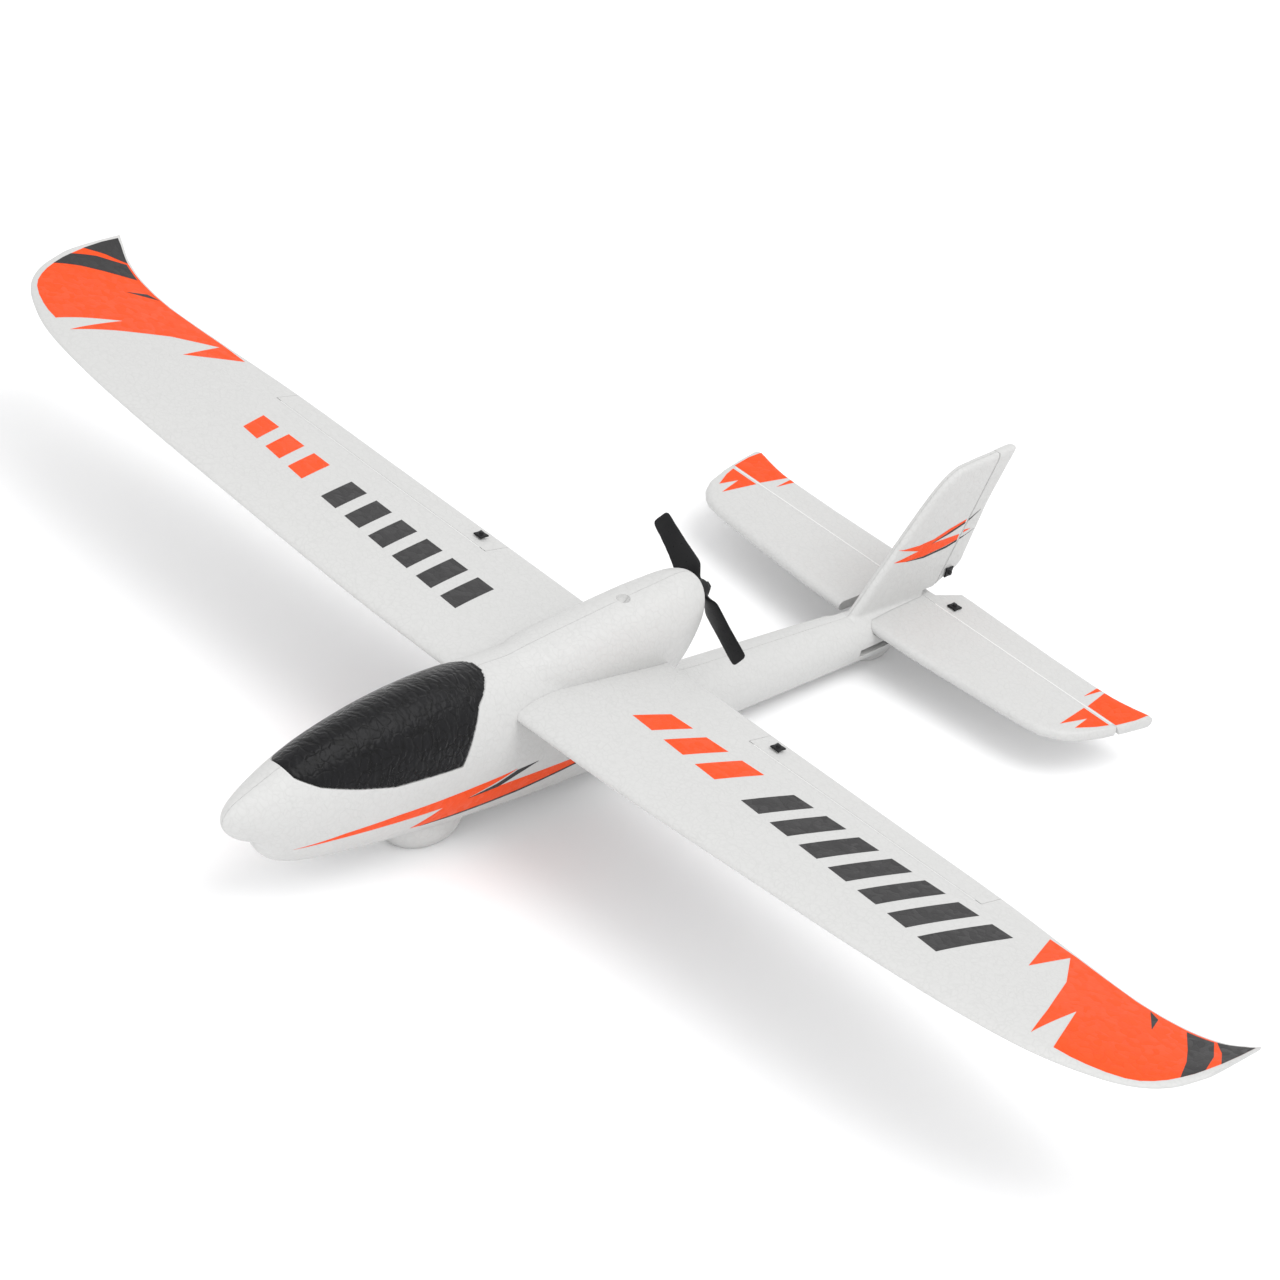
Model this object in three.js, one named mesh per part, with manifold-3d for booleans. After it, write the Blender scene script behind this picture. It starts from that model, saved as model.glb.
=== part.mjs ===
// A 600 mm radio-controlled foam trainer with a pusher propeller on a pylon behind the wing.
// Millimetres. X points to the left wing tip, Y to the tail and Z up.
// The origin is on the floor, at the middle of the airplane's box. It stands on its belly and tail bulges.
import * as THREE from "three";
import { mergeVertices } from "three/addons/utils/BufferGeometryUtils.js";
import Module from "manifold-3d";

const wasm = await Module();
wasm.setup();

// Driving dimensions
const GAP = 0.3; // between pieces that touch
const FOAM_WALL = 4;
const AILERON_INNER = 69.7; // X of the aileron's inner end
const AILERON_OUTER = 186.4;
const AILERON_HINGE_INNER_Y = -15.8;
const AILERON_HINGE_OUTER_Y = -18.8;
const AILERON_HINGE_INNER_Z = 55.6;
const AILERON_HINGE_OUTER_Z = 59.4;
const ELEVATOR_HINGE_Y = 172.8;
const RUDDER_FOOT = [178.8, 25.2]; // Y and Z of the rudder hinge at its lower end
const RUDDER_HEAD = [198, 80];
const STAB_TOP = 21.2;
const STAB_THICKNESS = 4.4;
const FIN_THICKNESS = 4.6;
const THRUST_Y = 25.4; // front face of the propeller hub
const THRUST_Z = 66.9;
const PROPELLER_RADIUS = 31.5;
const PROPELLER_ANGLE = 147; // degrees from +X at which a blade rests
const PROPELLER_PITCH = 24; // degrees
const PROPELLER_HUB = 3.8; // length along the shaft
const SHAFT_RADIUS = 0.75;
const MOTOR_RADIUS = 6;
const MOTOR_BACK = -3; // Y of the motor's front end, away from the propeller
const MOTOR_LENGTH = 18;
const MOUNT_RADIUS = 7.4;
const SPAR_RADIUS = 1.5;
const SPAR_REACH = 60;
const SPAR_Y = -58;
const SPAR_Z = 54.6;
const TRAY_TOP = 21.9;
const LEDGE_TOP = 60; // the ledge that carries the hatch's steel keeper
const MAGNET_Y = -101.2;
const BATTERY = [18, 40, 10]; // width, length, height
const SERVO_WIDTH = 6.8;
const SERVO_ARM = 6.5;
const WIRE_RADIUS = 0.5;
const BODY_SERVO = { x: 3.2, y: -50, z: 28.6 };
const WING_SERVO = { x: 77.9, y: -47, z: 50.2 };
const AILERON_HORN = { y: -9.4, z: 50.6, top: 55.3, drop: 6.6 };
const ELEVATOR_HORN = { x: 15, y: 177.4, wire: 10.6 };
const RUDDER_HORN = { y: 184.6, z: 29.4 };
const BEVEL_ANGLE = 32; // degrees that a control surface's front edge is cut back

// Fuselage stations: Y, half width, bottom, height of the widest point, top
const FUSELAGE = [
  [-210, 0.9, 40.4, 41.8, 43.2],
  [-207, 4, 35.8, 41.6, 47.2],
  [-202, 6.8, 32, 41.4, 50],
  [-196, 9.2, 29.4, 41, 52.8],
  [-192.5, 10.4, 27.6, 40.8, 54.4],
  [-188, 11.8, 20.8, 40.6, 56.4],
  [-180, 13.8, 15.8, 40.2, 59.6],
  [-165, 16.8, 12.4, 40, 64],
  [-140, 20, 10, 39.6, 68.6],
  [-114, 21.6, 8, 38.8, 70.8],
  [-90, 22, 6.2, 37.4, 70],
  [-60, 21.4, 4.2, 35.4, 69],
  [-30, 20, 3.2, 32.4, 65],
  [-5, 17.4, 2.9, 25.4, 50],
  [15, 15.2, 2.7, 18.4, 34],
  [30, 14.3, 2.6, 15.8, 29.4],
  [60, 13.2, 2.4, 14.8, 27.2],
  [100, 11.8, 2.2, 13.4, 24.8],
  [130, 10.7, 2.2, 12.2, 23],
  [152, 9.6, 2.2, 11.8, 22],
  [163, 8.2, 4.6, 13.2, 21.6],
  [172, 5.4, 10.4, 16.4, 21.2],
];
// Pylon stations in the same order. Its tail hangs free over the boom.
const PYLON = [
  [-84, 9, 46, 56, 68.6],
  [-60, 15.4, 40, 57, 72],
  [-30, 16.2, 36, 57.6, 75.2],
  [-8, 16, 30, 59, 77.4],
  [4, 15, 28, 60, 78.4],
  [12, 13.4, 34, 61.4, 79],
  [18, 11, 43, 62.6, 77.8],
  [22, 8.2, 52, 64, 75],
  [25, 3.6, 59, 65.8, 71.2],
];
// Wing stations: X, leading edge Y and Z, trailing edge Y and Z, thickness
const WING = [
  [13, -85.5, 55.4, -1.2, 50.2, 8.6],
  [70, -86.4, 57.2, -2.7, 51.9, 8.2],
  [130, -86.6, 60.6, -4.6, 53.7, 7.4],
  [186, -86.2, 63.8, -6.6, 55.6, 6.6],
  [225, -83.8, 65.4, -10.6, 57.6, 5.6],
  [255, -78.2, 65.8, -13.2, 59.2, 4.8],
  [275, -69, 65.2, -11.2, 60.2, 4],
  [288, -59.6, 65, -7.8, 62, 3.2],
  [296, -48.2, 65.4, -4.6, 64.8, 2.6],
  [300, -34, 66.4, -3.4, 67, 1.8],
];
const STAB_OUTLINE = [
  [0, 135.8], [30, 136.6], [60, 139.2], [82, 141.2], [92.4, 144.2], [99.6, 152], [104.2, 166], [107.4, 182],
  [108.4, 192], [107, 193.8], [100, 191.6], [90, 189.6], [60, 189], [9.6, 190.2], [4.4, 179.6], [0, 179.2],
];
const FIN_OUTLINE = [
  [124, 18], [130, 26], [148.4, 51.4], [160, 67], [166, 73.6], [172, 77.8], [180, 80], [199, 80.2],
  [208.6, 81.6], [210, 80.6], [205, 69], [200.4, 57.4], [194.9, 36], [192.8, 25.2], [176, 24.4],
  [176, 21.6], [139, 21.6], [139, 18],
];
const HATCH_OUTLINE = [
  [-187.6, 60], [-184.6, 55.6], [-176, 52.2], [-160, 48.8], [-144.5, 46.2], [-113, 45.6], [-107.4, 56.4],
  [-102.6, 63.6], [-95, 68], [-91, 70.4], [-91, 80], [-196, 80], [-196, 66],
];

// Materials, one to each mesh so that a finish can be set piece by piece
const FINISHES = {
  foam: [0xf4f4f1, 0.62, 0],
  blackFoam: [0x1a1a1b, 0.42, 0],
  blackPlastic: [0x141414, 0.35, 0],
  carbon: [0x202022, 0.4, 0],
  steel: [0xb9bcc0, 0.28, 1],
  magnet: [0xa8aaad, 0.3, 1],
  board: [0x1d5a34, 0.5, 0],
  batteryWrap: [0x2b4f9c, 0.45, 0],
  strap: [0x202020, 0.9, 0],
  servoCase: [0x24487d, 0.35, 0],
};

function finish(name) {
  const [color, roughness, metalness] = FINISHES[name];
  return new THREE.MeshStandardMaterial({ color, roughness, metalness });
}

// Solids

function solid(geometry) {
  const plain = geometry.index ? geometry.toNonIndexed() : geometry.clone();
  plain.deleteAttribute("normal");
  plain.deleteAttribute("uv");
  const merged = mergeVertices(plain, 1e-4);
  const vertProperties = merged.attributes.position.array;
  const triVerts = new Uint32Array(merged.index.array);
  const made = new wasm.Manifold(new wasm.Mesh({ numProp: 3, vertProperties, triVerts }));
  if (made.volume() > 0) return made;
  for (let i = 0; i < triVerts.length; i += 3) triVerts.subarray(i, i + 2).reverse();
  return new wasm.Manifold(new wasm.Mesh({ numProp: 3, vertProperties, triVerts }));
}

function geometryOf(body) {
  const mesh = body.getMesh();
  const positions = new Float32Array(mesh.numVert * 3);
  for (let i = 0; i < mesh.numVert; i++)
    positions.set(mesh.vertProperties.subarray(i * mesh.numProp, i * mesh.numProp + 3), i * 3);
  const geometry = new THREE.BufferGeometry();
  geometry.setAttribute("position", new THREE.BufferAttribute(positions, 3));
  geometry.setIndex(new THREE.BufferAttribute(mesh.triVerts, 1));
  geometry.computeVertexNormals();
  return geometry;
}

// The main body, without the slivers that a cut can leave beside it.
function largest(body) {
  return body.decompose().reduce((most, one) => (one.volume() > most.volume() ? one : most));
}

function box(low, high) {
  const size = high.map((value, i) => value - low[i]);
  const middle = high.map((value, i) => (value + low[i]) / 2);
  return solid(new THREE.BoxGeometry(...size).translate(...middle));
}

// A round bar from one point along +X, +Y or +Z.
function bar(axis, radius, start, length, sides = 20) {
  const geometry = new THREE.CylinderGeometry(radius, radius, length, sides).translate(0, length / 2, 0);
  if (axis === "x") geometry.rotateZ(-Math.PI / 2);
  if (axis === "z") geometry.rotateX(Math.PI / 2);
  return solid(geometry.translate(...start));
}

function ellipsoid(radii, centre) {
  return solid(new THREE.SphereGeometry(1, 20, 12).scale(...radii).translate(...centre));
}

// A skin over rings of equal point counts, closed by a fan at each end.
function loft(rings) {
  const count = rings[0].length;
  const points = rings.flat();
  const index = [];
  for (let r = 0; r < rings.length - 1; r++)
    for (let i = 0; i < count; i++) {
      const a = r * count + i;
      const b = r * count + ((i + 1) % count);
      index.push(a, b, a + count, b, b + count, a + count);
    }
  for (const [ring, first] of [[rings[0], 0], [rings.at(-1), points.length - count]]) {
    const centre = new THREE.Vector3();
    for (const point of ring) centre.addScaledVector(point, 1 / count);
    points.push(centre);
    for (let i = 0; i < count; i++) {
      const edge = [first + i, first + ((i + 1) % count)];
      if (first === 0) edge.reverse();
      index.push(...edge, points.length - 1);
    }
  }
  const geometry = new THREE.BufferGeometry().setFromPoints(points);
  geometry.setIndex(index);
  return solid(geometry);
}

// Values between hand-set stations, on a smooth curve through them.
function smoothStations(stations, steps) {
  const rows = [];
  for (let s = 0; s < stations.length - 1; s++)
    for (let k = 0; k < steps; k++) {
      const at = (i) => stations[Math.min(Math.max(i, 0), stations.length - 1)];
      const t = k / steps;
      rows.push(at(s).map((value, column) => {
        const slopeIn = (at(s + 1)[column] - at(s - 1)[column]) / 2;
        const slopeOut = (at(s + 2)[column] - value) / 2;
        const rise = at(s + 1)[column] - value;
        const curve = slopeIn * t + (3 * rise - 2 * slopeIn - slopeOut) * t * t;
        return value + curve + (slopeIn + slopeOut - 2 * rise) * t * t * t;
      }));
    }
  rows.push(stations.at(-1));
  return rows;
}

// One ring of the fuselage or pylon, inset by the wall for the hollow inside it.
function bodyRing([y, halfWidth, bottom, waist, top], inset, sides) {
  const ring = [];
  for (let i = 0; i < sides; i++) {
    const angle = (2 * Math.PI * (i + 0.5)) / sides;
    const reach = (Math.sin(angle) > 0 ? top - waist : waist - bottom) - inset;
    ring.push(new THREE.Vector3((halfWidth - inset) * Math.cos(angle), y, waist + reach * Math.sin(angle)));
  }
  return ring;
}

function bodyLoft(stations, inset = 0, sides = 20) {
  return loft(stations.map((station) => bodyRing(station, inset, sides)));
}

function flatShape(outline) {
  return new THREE.Shape(outline.map(([u, v]) => new THREE.Vector2(u, v)));
}

// An outline in Y and Z, as thick as given along X about the centre plane.
function sidePlate(outline, thickness, bevel = 0) {
  const geometry = new THREE.ExtrudeGeometry(flatShape(outline), {
    depth: thickness - 2 * bevel,
    bevelEnabled: bevel > 0,
    bevelThickness: bevel,
    bevelSize: bevel,
    bevelOffset: -bevel,
    bevelSegments: 1,
  });
  geometry.translate(0, 0, bevel - thickness / 2);
  geometry.applyMatrix4(new THREE.Matrix4().makeBasis(
    new THREE.Vector3(0, 1, 0), new THREE.Vector3(0, 0, 1), new THREE.Vector3(1, 0, 0)));
  return solid(geometry);
}

// A profile swept along the straight line from one point to another. In the profile, u points aft
// (square to the line) and v completes the right-handed set.
function sweptProfile(profile, from, to, aft) {
  const start = new THREE.Vector3(...from);
  const along = new THREE.Vector3(...to).sub(start);
  const length = along.length();
  along.normalize();
  const u = new THREE.Vector3(...aft);
  u.addScaledVector(along, -u.dot(along)).normalize();
  const v = new THREE.Vector3().crossVectors(along, u);
  const geometry = new THREE.ExtrudeGeometry(flatShape(profile), { depth: length, bevelEnabled: false });
  const frame = new THREE.Matrix4().makeBasis(u, v, along).setPosition(start);
  return solid(geometry.applyMatrix4(frame));
}

// A wire along a smooth route.
function wire(points, radius, steps) {
  const route = new THREE.CatmullRomCurve3(points.map((p) => new THREE.Vector3(...p)), false, "centripetal");
  const section = new THREE.Shape().absarc(0, 0, radius, 0, 2 * Math.PI, false);
  return solid(new THREE.ExtrudeGeometry(section, { steps, extrudePath: route, curveSegments: 4 }));
}

const rad = THREE.MathUtils.degToRad;
const BIG = 400;

// Wing

function wingRing([x, leadY, leadZ, trailY, trailZ, thickness], grow) {
  const chord = Math.hypot(trailY - leadY, trailZ - leadZ);
  const along = new THREE.Vector3(0, trailY - leadY, trailZ - leadZ).divideScalar(chord);
  const up = new THREE.Vector3(0, -along.z, along.y);
  const start = new THREE.Vector3(x, leadY, leadZ).addScaledVector(along, -grow);
  const points = 11;
  const ring = [];
  for (let i = 0; i < 2 * points; i++) {
    const upper = i < points;
    const step = upper ? i / points : (2 * points - i) / points;
    const t = (1 - Math.cos(Math.PI * step)) / 2;
    // a blunt section: round nose, thickest at a third, edge about a millimetre thick
    const round = 2.97 * Math.sqrt(t) - 1.26 * t - 3.52 * t * t + 2.84 * t ** 3 - 0.86 * t ** 4;
    const half = (thickness / 2) * round + 0.5 * t + grow;
    const height = upper ? 1.15 * half : -0.85 * half;
    ring.push(start.clone().addScaledVector(along, t * (chord + 2 * grow)).addScaledVector(up, height));
  }
  return ring;
}

function wingSolid(grow = 0) {
  const rows = smoothStations(WING, 3);
  rows[0][0] -= grow;
  return loft(rows.map((station) => wingRing(station, grow)));
}

// The wedge that frees a control surface hinged along its top edge: the surface keeps what is aft of it.
function hingeWedge(depth) {
  const back = depth * Math.tan(rad(BEVEL_ANGLE));
  return [[-GAP / 2, 6], [GAP / 2, 6], [GAP / 2, 0], [back, -depth], [-GAP / 2, -depth]];
}

// A point on the aileron's hinge line.
function aileronHinge(x) {
  const t = (x - AILERON_INNER) / (AILERON_OUTER - AILERON_INNER);
  return [x, AILERON_HINGE_INNER_Y + t * (AILERON_HINGE_OUTER_Y - AILERON_HINGE_INNER_Y),
    AILERON_HINGE_INNER_Z + t * (AILERON_HINGE_OUTER_Z - AILERON_HINGE_INNER_Z)];
}

// The space the aileron takes out of the wing, and the wedge that bevels its front edge. The line
// runs from root to tip, so that u points aft and v up.
function leftAileronCut() {
  const line = [aileronHinge(AILERON_INNER - 5), aileronHinge(AILERON_OUTER + 5), [0, 1, 0]];
  const behind = sweptProfile([[-GAP / 2, -14], [30, -14], [30, 6], [-GAP / 2, 6]], ...line);
  return {
    wedge: sweptProfile(hingeWedge(14), ...line),
    bay: behind.intersect(box([AILERON_INNER, -60, 0], [AILERON_OUTER, 60, BIG])),
  };
}

function leftWing() {
  const whole = wingSolid();
  const { wedge, bay } = leftAileronCut();
  const middle = box([AILERON_INNER + GAP, -40, 30], [AILERON_OUTER - GAP, 20, 80]);
  const { x, y, z } = WING_SERVO;
  const pocket = box([x - 13, y - 9, 40], [x - 0.6, y + 15.6, z + SERVO_WIDTH / 2 + GAP]);
  const armWay = box([x - 1, y - 6, 40], [x + 3, y + 6, z + 3.2]);
  const panel = whole.subtract(bay).subtract(sparHole()).subtract(pocket).subtract(armWay);
  const aileron = whole.intersect(bay).subtract(wedge).intersect(middle);
  return { panel: largest(panel), aileron: largest(aileron) };
}

function sparHole() {
  return bar("x", SPAR_RADIUS + GAP, [-SPAR_REACH - 2, SPAR_Y, SPAR_Z], 2 * SPAR_REACH + 4, 12);
}

// Tail

function stabOutline() {
  const left = STAB_OUTLINE.map(([x, y]) => [x, y]);
  const right = STAB_OUTLINE.slice(1, -1).reverse().map(([x, y]) => [-x, y]);
  return [...left, ...right];
}

function stabSolid(grow = 0) {
  const bevel = 1.4;
  const geometry = new THREE.ExtrudeGeometry(flatShape(stabOutline()), {
    depth: STAB_THICKNESS + 2 * grow - 2 * bevel,
    bevelThickness: bevel,
    bevelSize: bevel + grow,
    bevelOffset: -bevel,
    bevelSegments: 1,
  });
  return solid(geometry.translate(0, 0, STAB_TOP - STAB_THICKNESS - grow + bevel));
}

function tailplane() {
  const whole = stabSolid();
  const top = STAB_TOP;
  const from = [-120, ELEVATOR_HINGE_Y, top]; // run from right to left, u points aft and v up
  const to = [120, ELEVATOR_HINGE_Y, top];
  const wedge = sweptProfile(hingeWedge(8), from, to, [0, 1, 0]);
  const aft = box([-120, ELEVATOR_HINGE_Y - GAP / 2, 0], [120, BIG, 40]);
  const rodSlot = box([-10.6, 132, 0], [-4.6, 164, 40]);
  const stabiliser = whole.subtract(aft).subtract(rodSlot);
  const elevator = whole.intersect(aft).subtract(wedge);
  return { stabiliser: largest(stabiliser), elevator: largest(elevator) };
}

// The rudder's front edge is a V about the hinge line on the centre plane.
function finAndRudder() {
  const whole = sidePlate(FIN_OUTLINE, FIN_THICKNESS, 1.2);
  const reach = FIN_THICKNESS;
  const back = reach * Math.tan(rad(BEVEL_ANGLE));
  const from = [0, RUDDER_FOOT[0] - 2.1, RUDDER_FOOT[1] - 6];
  const to = [0, RUDDER_HEAD[0] + 2.1, RUDDER_HEAD[1] + 6];
  const vee = [[-GAP / 2, -reach], [back, -reach], [GAP / 2, 0], [back, reach], [-GAP / 2, reach]];
  const aftHalf = [[-GAP / 2, -reach], [60, -reach], [60, reach], [-GAP / 2, reach]];
  const aft = sweptProfile(aftHalf, from, to, [0, 1, 0]);
  const wedge = sweptProfile(vee, from, to, [0, 1, 0]);
  return { fin: largest(whole.subtract(aft)), rudder: largest(whole.intersect(aft).subtract(wedge)) };
}

// Fuselage

function fuselageHollow() {
  const stations = smoothStations(FUSELAGE, 1).filter(([y]) => y > -184 && y < 160);
  const hollow = bodyLoft(stations, FOAM_WALL, 14);
  const motorBay = bar("y", MOTOR_RADIUS + GAP, [0, MOTOR_BACK - 2, THRUST_Z], MOTOR_LENGTH + 2.4);
  const shaftWay = bar("y", 2.2, [0, 12, THRUST_Z], 16, 12);
  const mountBay = bar("y", MOUNT_RADIUS + GAP, [0, MOTOR_BACK + MOTOR_LENGTH, THRUST_Z], 4.6);
  const wireWay = box([-3, MOTOR_BACK - 2, 30], [3, MOTOR_BACK + 4, THRUST_Z]);
  return hollow.add(motorBay).add(shaftWay).add(mountBay).add(wireWay);
}

function fuselageOuter(fin) {
  const body = bodyLoft(smoothStations(FUSELAGE, 2));
  const pylon = bodyLoft(smoothStations(PYLON, 2), 0, 18);
  const belly = ellipsoid([12, 18.5, 11], [0, -104, 7.4]);
  const tail = ellipsoid([7, 12, 7], [0, 148, 4.6]);
  const dimple = ellipsoid([3.4, 3.4, 1.6], [0, -17.6, 77.4]);
  return body.add(pylon).add(belly).add(tail).add(fin).subtract(dimple);
}

function fuselage(fin) {
  const ledge = box([-30, -104.4, 53.6], [30, -92, LEDGE_TOP]);
  const magnetPad = box([-3.6, -104, LEDGE_TOP + 3.8], [3.6, -98.6, 69]);
  const outer = fuselageOuter(fin);
  const floor = box([-BIG, -BIG, -40], [BIG, BIG, 0]);
  const hollow = fuselageHollow().subtract(ledge);
  const hatchCut = sidePlate(HATCH_OUTLINE, 80);
  const hatch = outer.intersect(hatchCut).subtract(hollow.subtract(magnetPad));
  const hatchHole = [[0, GAP, 0], [0, -GAP, -GAP], [0, 0, -GAP]]
    .map((shift) => hatchCut.translate(shift)).reduce((sum, one) => sum.add(one));
  const wing = wingSolid(1.5 * GAP);
  const elevatorWay = box([-30, ELEVATOR_HINGE_Y - 1.4, 12], [30, 182.4, 24.2]);
  const rudderRodWay = box([-12, 123.4, 11.6], [-4.4, 172, 28]);
  const elevatorRodWay = box([4, 128, 9.4], [20, 164, 14.6]);
  const ways = [floor, hollow, hatchHole, wing, mirrored(wing), stabSolid(GAP), elevatorWay, rudderRodWay,
    elevatorRodWay, sparHole()];
  const shell = ways.reduce((left, cut) => left.subtract(cut), outer);
  const leftSide = box([GAP / 2, -BIG, -BIG], [BIG, BIG, BIG]);
  return {
    left: largest(shell.intersect(leftSide)),
    right: largest(shell.intersect(mirrored(leftSide))),
    hatch: largest(hatch),
  };
}

function mirrored(body) {
  return solid(geometryOf(body).scale(-1, 1, 1));
}

// Inside the nose

function equipmentTray() {
  const stations = smoothStations(FUSELAGE, 1).filter(([y]) => y > -184 && y < -40);
  const room = bodyLoft(stations, FOAM_WALL + GAP, 14);
  return box([-11.5, -166, TRAY_TOP - 1.5], [11.5, -64, TRAY_TOP]).intersect(room);
}

function roundedBlock(size, middle, radius) {
  const [width, length, height] = size;
  const shape = new THREE.Shape();
  shape.moveTo(-width / 2 + radius, -height / 2);
  for (const [across, up, start] of [[1, -1, -90], [1, 1, 0], [-1, 1, 90], [-1, -1, 180]])
    shape.absarc(across * (width / 2 - radius), up * (height / 2 - radius), radius,
      rad(start), rad(start + 90), false);
  const settings = { depth: length, bevelEnabled: false, curveSegments: 3 };
  const geometry = new THREE.ExtrudeGeometry(shape, settings);
  return solid(geometry.translate(0, 0, -length / 2).rotateX(-Math.PI / 2).translate(...middle));
}

function batteryStrap() {
  const [width, , height] = BATTERY;
  const top = TRAY_TOP + GAP + height;
  const outer = box([-width / 2 - 1.5, -141, TRAY_TOP + GAP], [width / 2 + 1.5, -131, top + 1.5]);
  return outer.subtract(box([-width / 2 - GAP, -150, 0], [width / 2 + GAP, -120, top + GAP]));
}

function controlBoard() {
  const base = TRAY_TOP + GAP;
  const board = box([-11, -94, base], [11, -69, base + 1.6]);
  const chips = [[-8, -90, 7, 7, 1.4], [1, -91, 8, 6, 3.2], [-8, -80, 6, 8, 2], [2, -82, 6.5, 4.5, 1.2]];
  const sockets = box([-9, -73.4, base + 1], [9, -69.6, base + 5.4]);
  return chips.reduce(
    (sum, [x, y, w, l, h]) => sum.add(box([x, y, base + 1], [x + w, y + l, base + 1.6 + h])),
    board.add(sockets));
}

// Servos. The local frame has the output shaft along +X and ends at the face the arm sits on.

function servoCase() {
  const half = SERVO_WIDTH / 2;
  const body = box([-11.2, -4.4, -half], [-1.6, 11, half]);
  const lugs = box([-5, -8, -half], [-3.8, 14.6, half]);
  const screwHoles = bar("x", 0.8, [-7, -6.2, 0], 6, 10).add(bar("x", 0.8, [-7, 12.8, 0], 6, 10));
  return body.add(lugs).add(bar("x", 2.2, [-2, 0, 0], 2, 14)).subtract(screwHoles);
}

function servoArm() {
  const arm = box([GAP, -1.3, -SERVO_ARM], [GAP + 1.2, 1.3, 0]);
  const tip = bar("x", 1.3, [GAP, 0, -SERVO_ARM], 1.2, 12);
  const wireHole = bar("x", 0.7, [-1, 0, -SERVO_ARM], 4, 10);
  return bar("x", 2.3, [GAP, 0, 0], 1.2, 14).add(arm).add(tip).subtract(wireHole);
}

// Control horns. The local frame has the blade hanging down from a base plate whose top is at Z = 0.

function controlHorn(length) {
  const blade = [[-2.6, 0], [2.6, 0], [1.3, -length], [-1.3, -length]];
  const plate = box([-3, -2.8, -0.9], [3, 2.8, 0]);
  const hole = bar("x", 0.6, [-2, 0, 1.2 - length], 4, 10);
  return sidePlate(blade, 1.2).add(plate).subtract(hole);
}

function hornPlate() {
  const plate = new THREE.Shape();
  for (let i = 0; i < 8; i++) {
    const reach = i % 2 ? 1.9 : 3.1; // four points, drawn in between them
    const angle = rad(45 * i + 45);
    plate[i ? "lineTo" : "moveTo"](reach * Math.cos(angle), reach * Math.sin(angle));
  }
  const flat = new THREE.ExtrudeGeometry(plate, { depth: 0.8, bevelEnabled: false });
  return solid(flat).add(bar("z", 0.9, [0, 0, 1.7], -1.4, 12));
}

// Drive

function motorBody() {
  const can = bar("y", MOTOR_RADIUS, [0, MOTOR_BACK, THRUST_Z], MOTOR_LENGTH);
  return motorScrewHoles(can, MOTOR_BACK + MOTOR_LENGTH - 3);
}

function motorMount() {
  const face = MOTOR_BACK + MOTOR_LENGTH + GAP;
  const shaftHole = bar("y", 2.2, [0, face - 2, THRUST_Z], 8, 12);
  const disc = bar("y", MOUNT_RADIUS, [0, face, THRUST_Z], 2).subtract(shaftHole);
  return motorScrewHoles(disc, face - 1);
}

function motorScrewHoles(body, start) {
  for (const side of [-1, 1]) body = body.subtract(bar("y", 1, [4.3 * side, start, THRUST_Z], 10, 10));
  return body;
}

function motorScrew() {
  return bar("y", 1.5, [0, 0, 0], 1, 12).add(bar("y", 0.65, [0, -4.4, 0], 4.8, 8));
}

function propeller() {
  const blade = new THREE.Shape();
  blade.moveTo(0, -2.2);
  blade.bezierCurveTo(6, -2.4, 8, -5.4, 14, -5.4);
  blade.lineTo(PROPELLER_RADIUS - 2, -4.6);
  blade.quadraticCurveTo(PROPELLER_RADIUS, -4.4, PROPELLER_RADIUS, -2.4);
  blade.lineTo(PROPELLER_RADIUS, 2.4);
  blade.quadraticCurveTo(PROPELLER_RADIUS, 4.2, PROPELLER_RADIUS - 2, 4.2);
  blade.lineTo(14, 4.4);
  blade.bezierCurveTo(8, 4.2, 6, 2.2, 0, 2.2);
  const flat = new THREE.ExtrudeGeometry(blade, { depth: 1.3, bevelEnabled: false, curveSegments: 5 });
  flat.translate(0, 0, -0.65).rotateX(Math.PI / 2 + rad(PROPELLER_PITCH));
  const one = solid(flat);
  const two = solid(flat.clone().rotateY(Math.PI));
  const hub = bar("y", 3.2, [0, -PROPELLER_HUB / 2, 0], PROPELLER_HUB).add(one).add(two);
  const turned = hub.subtract(bar("y", SHAFT_RADIUS + 0.05, [0, -5, 0], 10, 16));
  return turned.rotate([0, -PROPELLER_ANGLE, 0]).translate([0, THRUST_Y + PROPELLER_HUB / 2, THRUST_Z]);
}

// Assembly

const airplane = new THREE.Group();

function addPiece(name, body, finishName, parent = airplane) {
  const mesh = new THREE.Mesh(geometryOf(body), finish(finishName));
  mesh.name = name;
  parent.add(mesh);
  return mesh;
}

function groupAt(x, y, z) {
  const group = new THREE.Group();
  group.position.set(x, y, z);
  airplane.add(group);
  return group;
}

function addShell() {
  const { fin, rudder } = finAndRudder();
  const { stabiliser, elevator } = tailplane();
  const { panel, aileron } = leftWing();
  const shells = fuselage(fin);
  addPiece("fuselage_left", shells.left, "foam");
  addPiece("fuselage_right", shells.right, "foam");
  addPiece("canopy_hatch", shells.hatch, "blackFoam");
  addPiece("wing_left", panel, "foam");
  addPiece("wing_right", mirrored(panel), "foam");
  addPiece("aileron_left", aileron, "foam");
  addPiece("aileron_right", mirrored(aileron), "foam");
  addPiece("stabiliser", stabiliser, "foam");
  addPiece("elevator", elevator, "foam");
  addPiece("rudder", rudder, "foam");
  addPiece("wing_spar", bar("x", SPAR_RADIUS, [-SPAR_REACH, SPAR_Y, SPAR_Z], 2 * SPAR_REACH, 12), "carbon");
}

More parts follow.
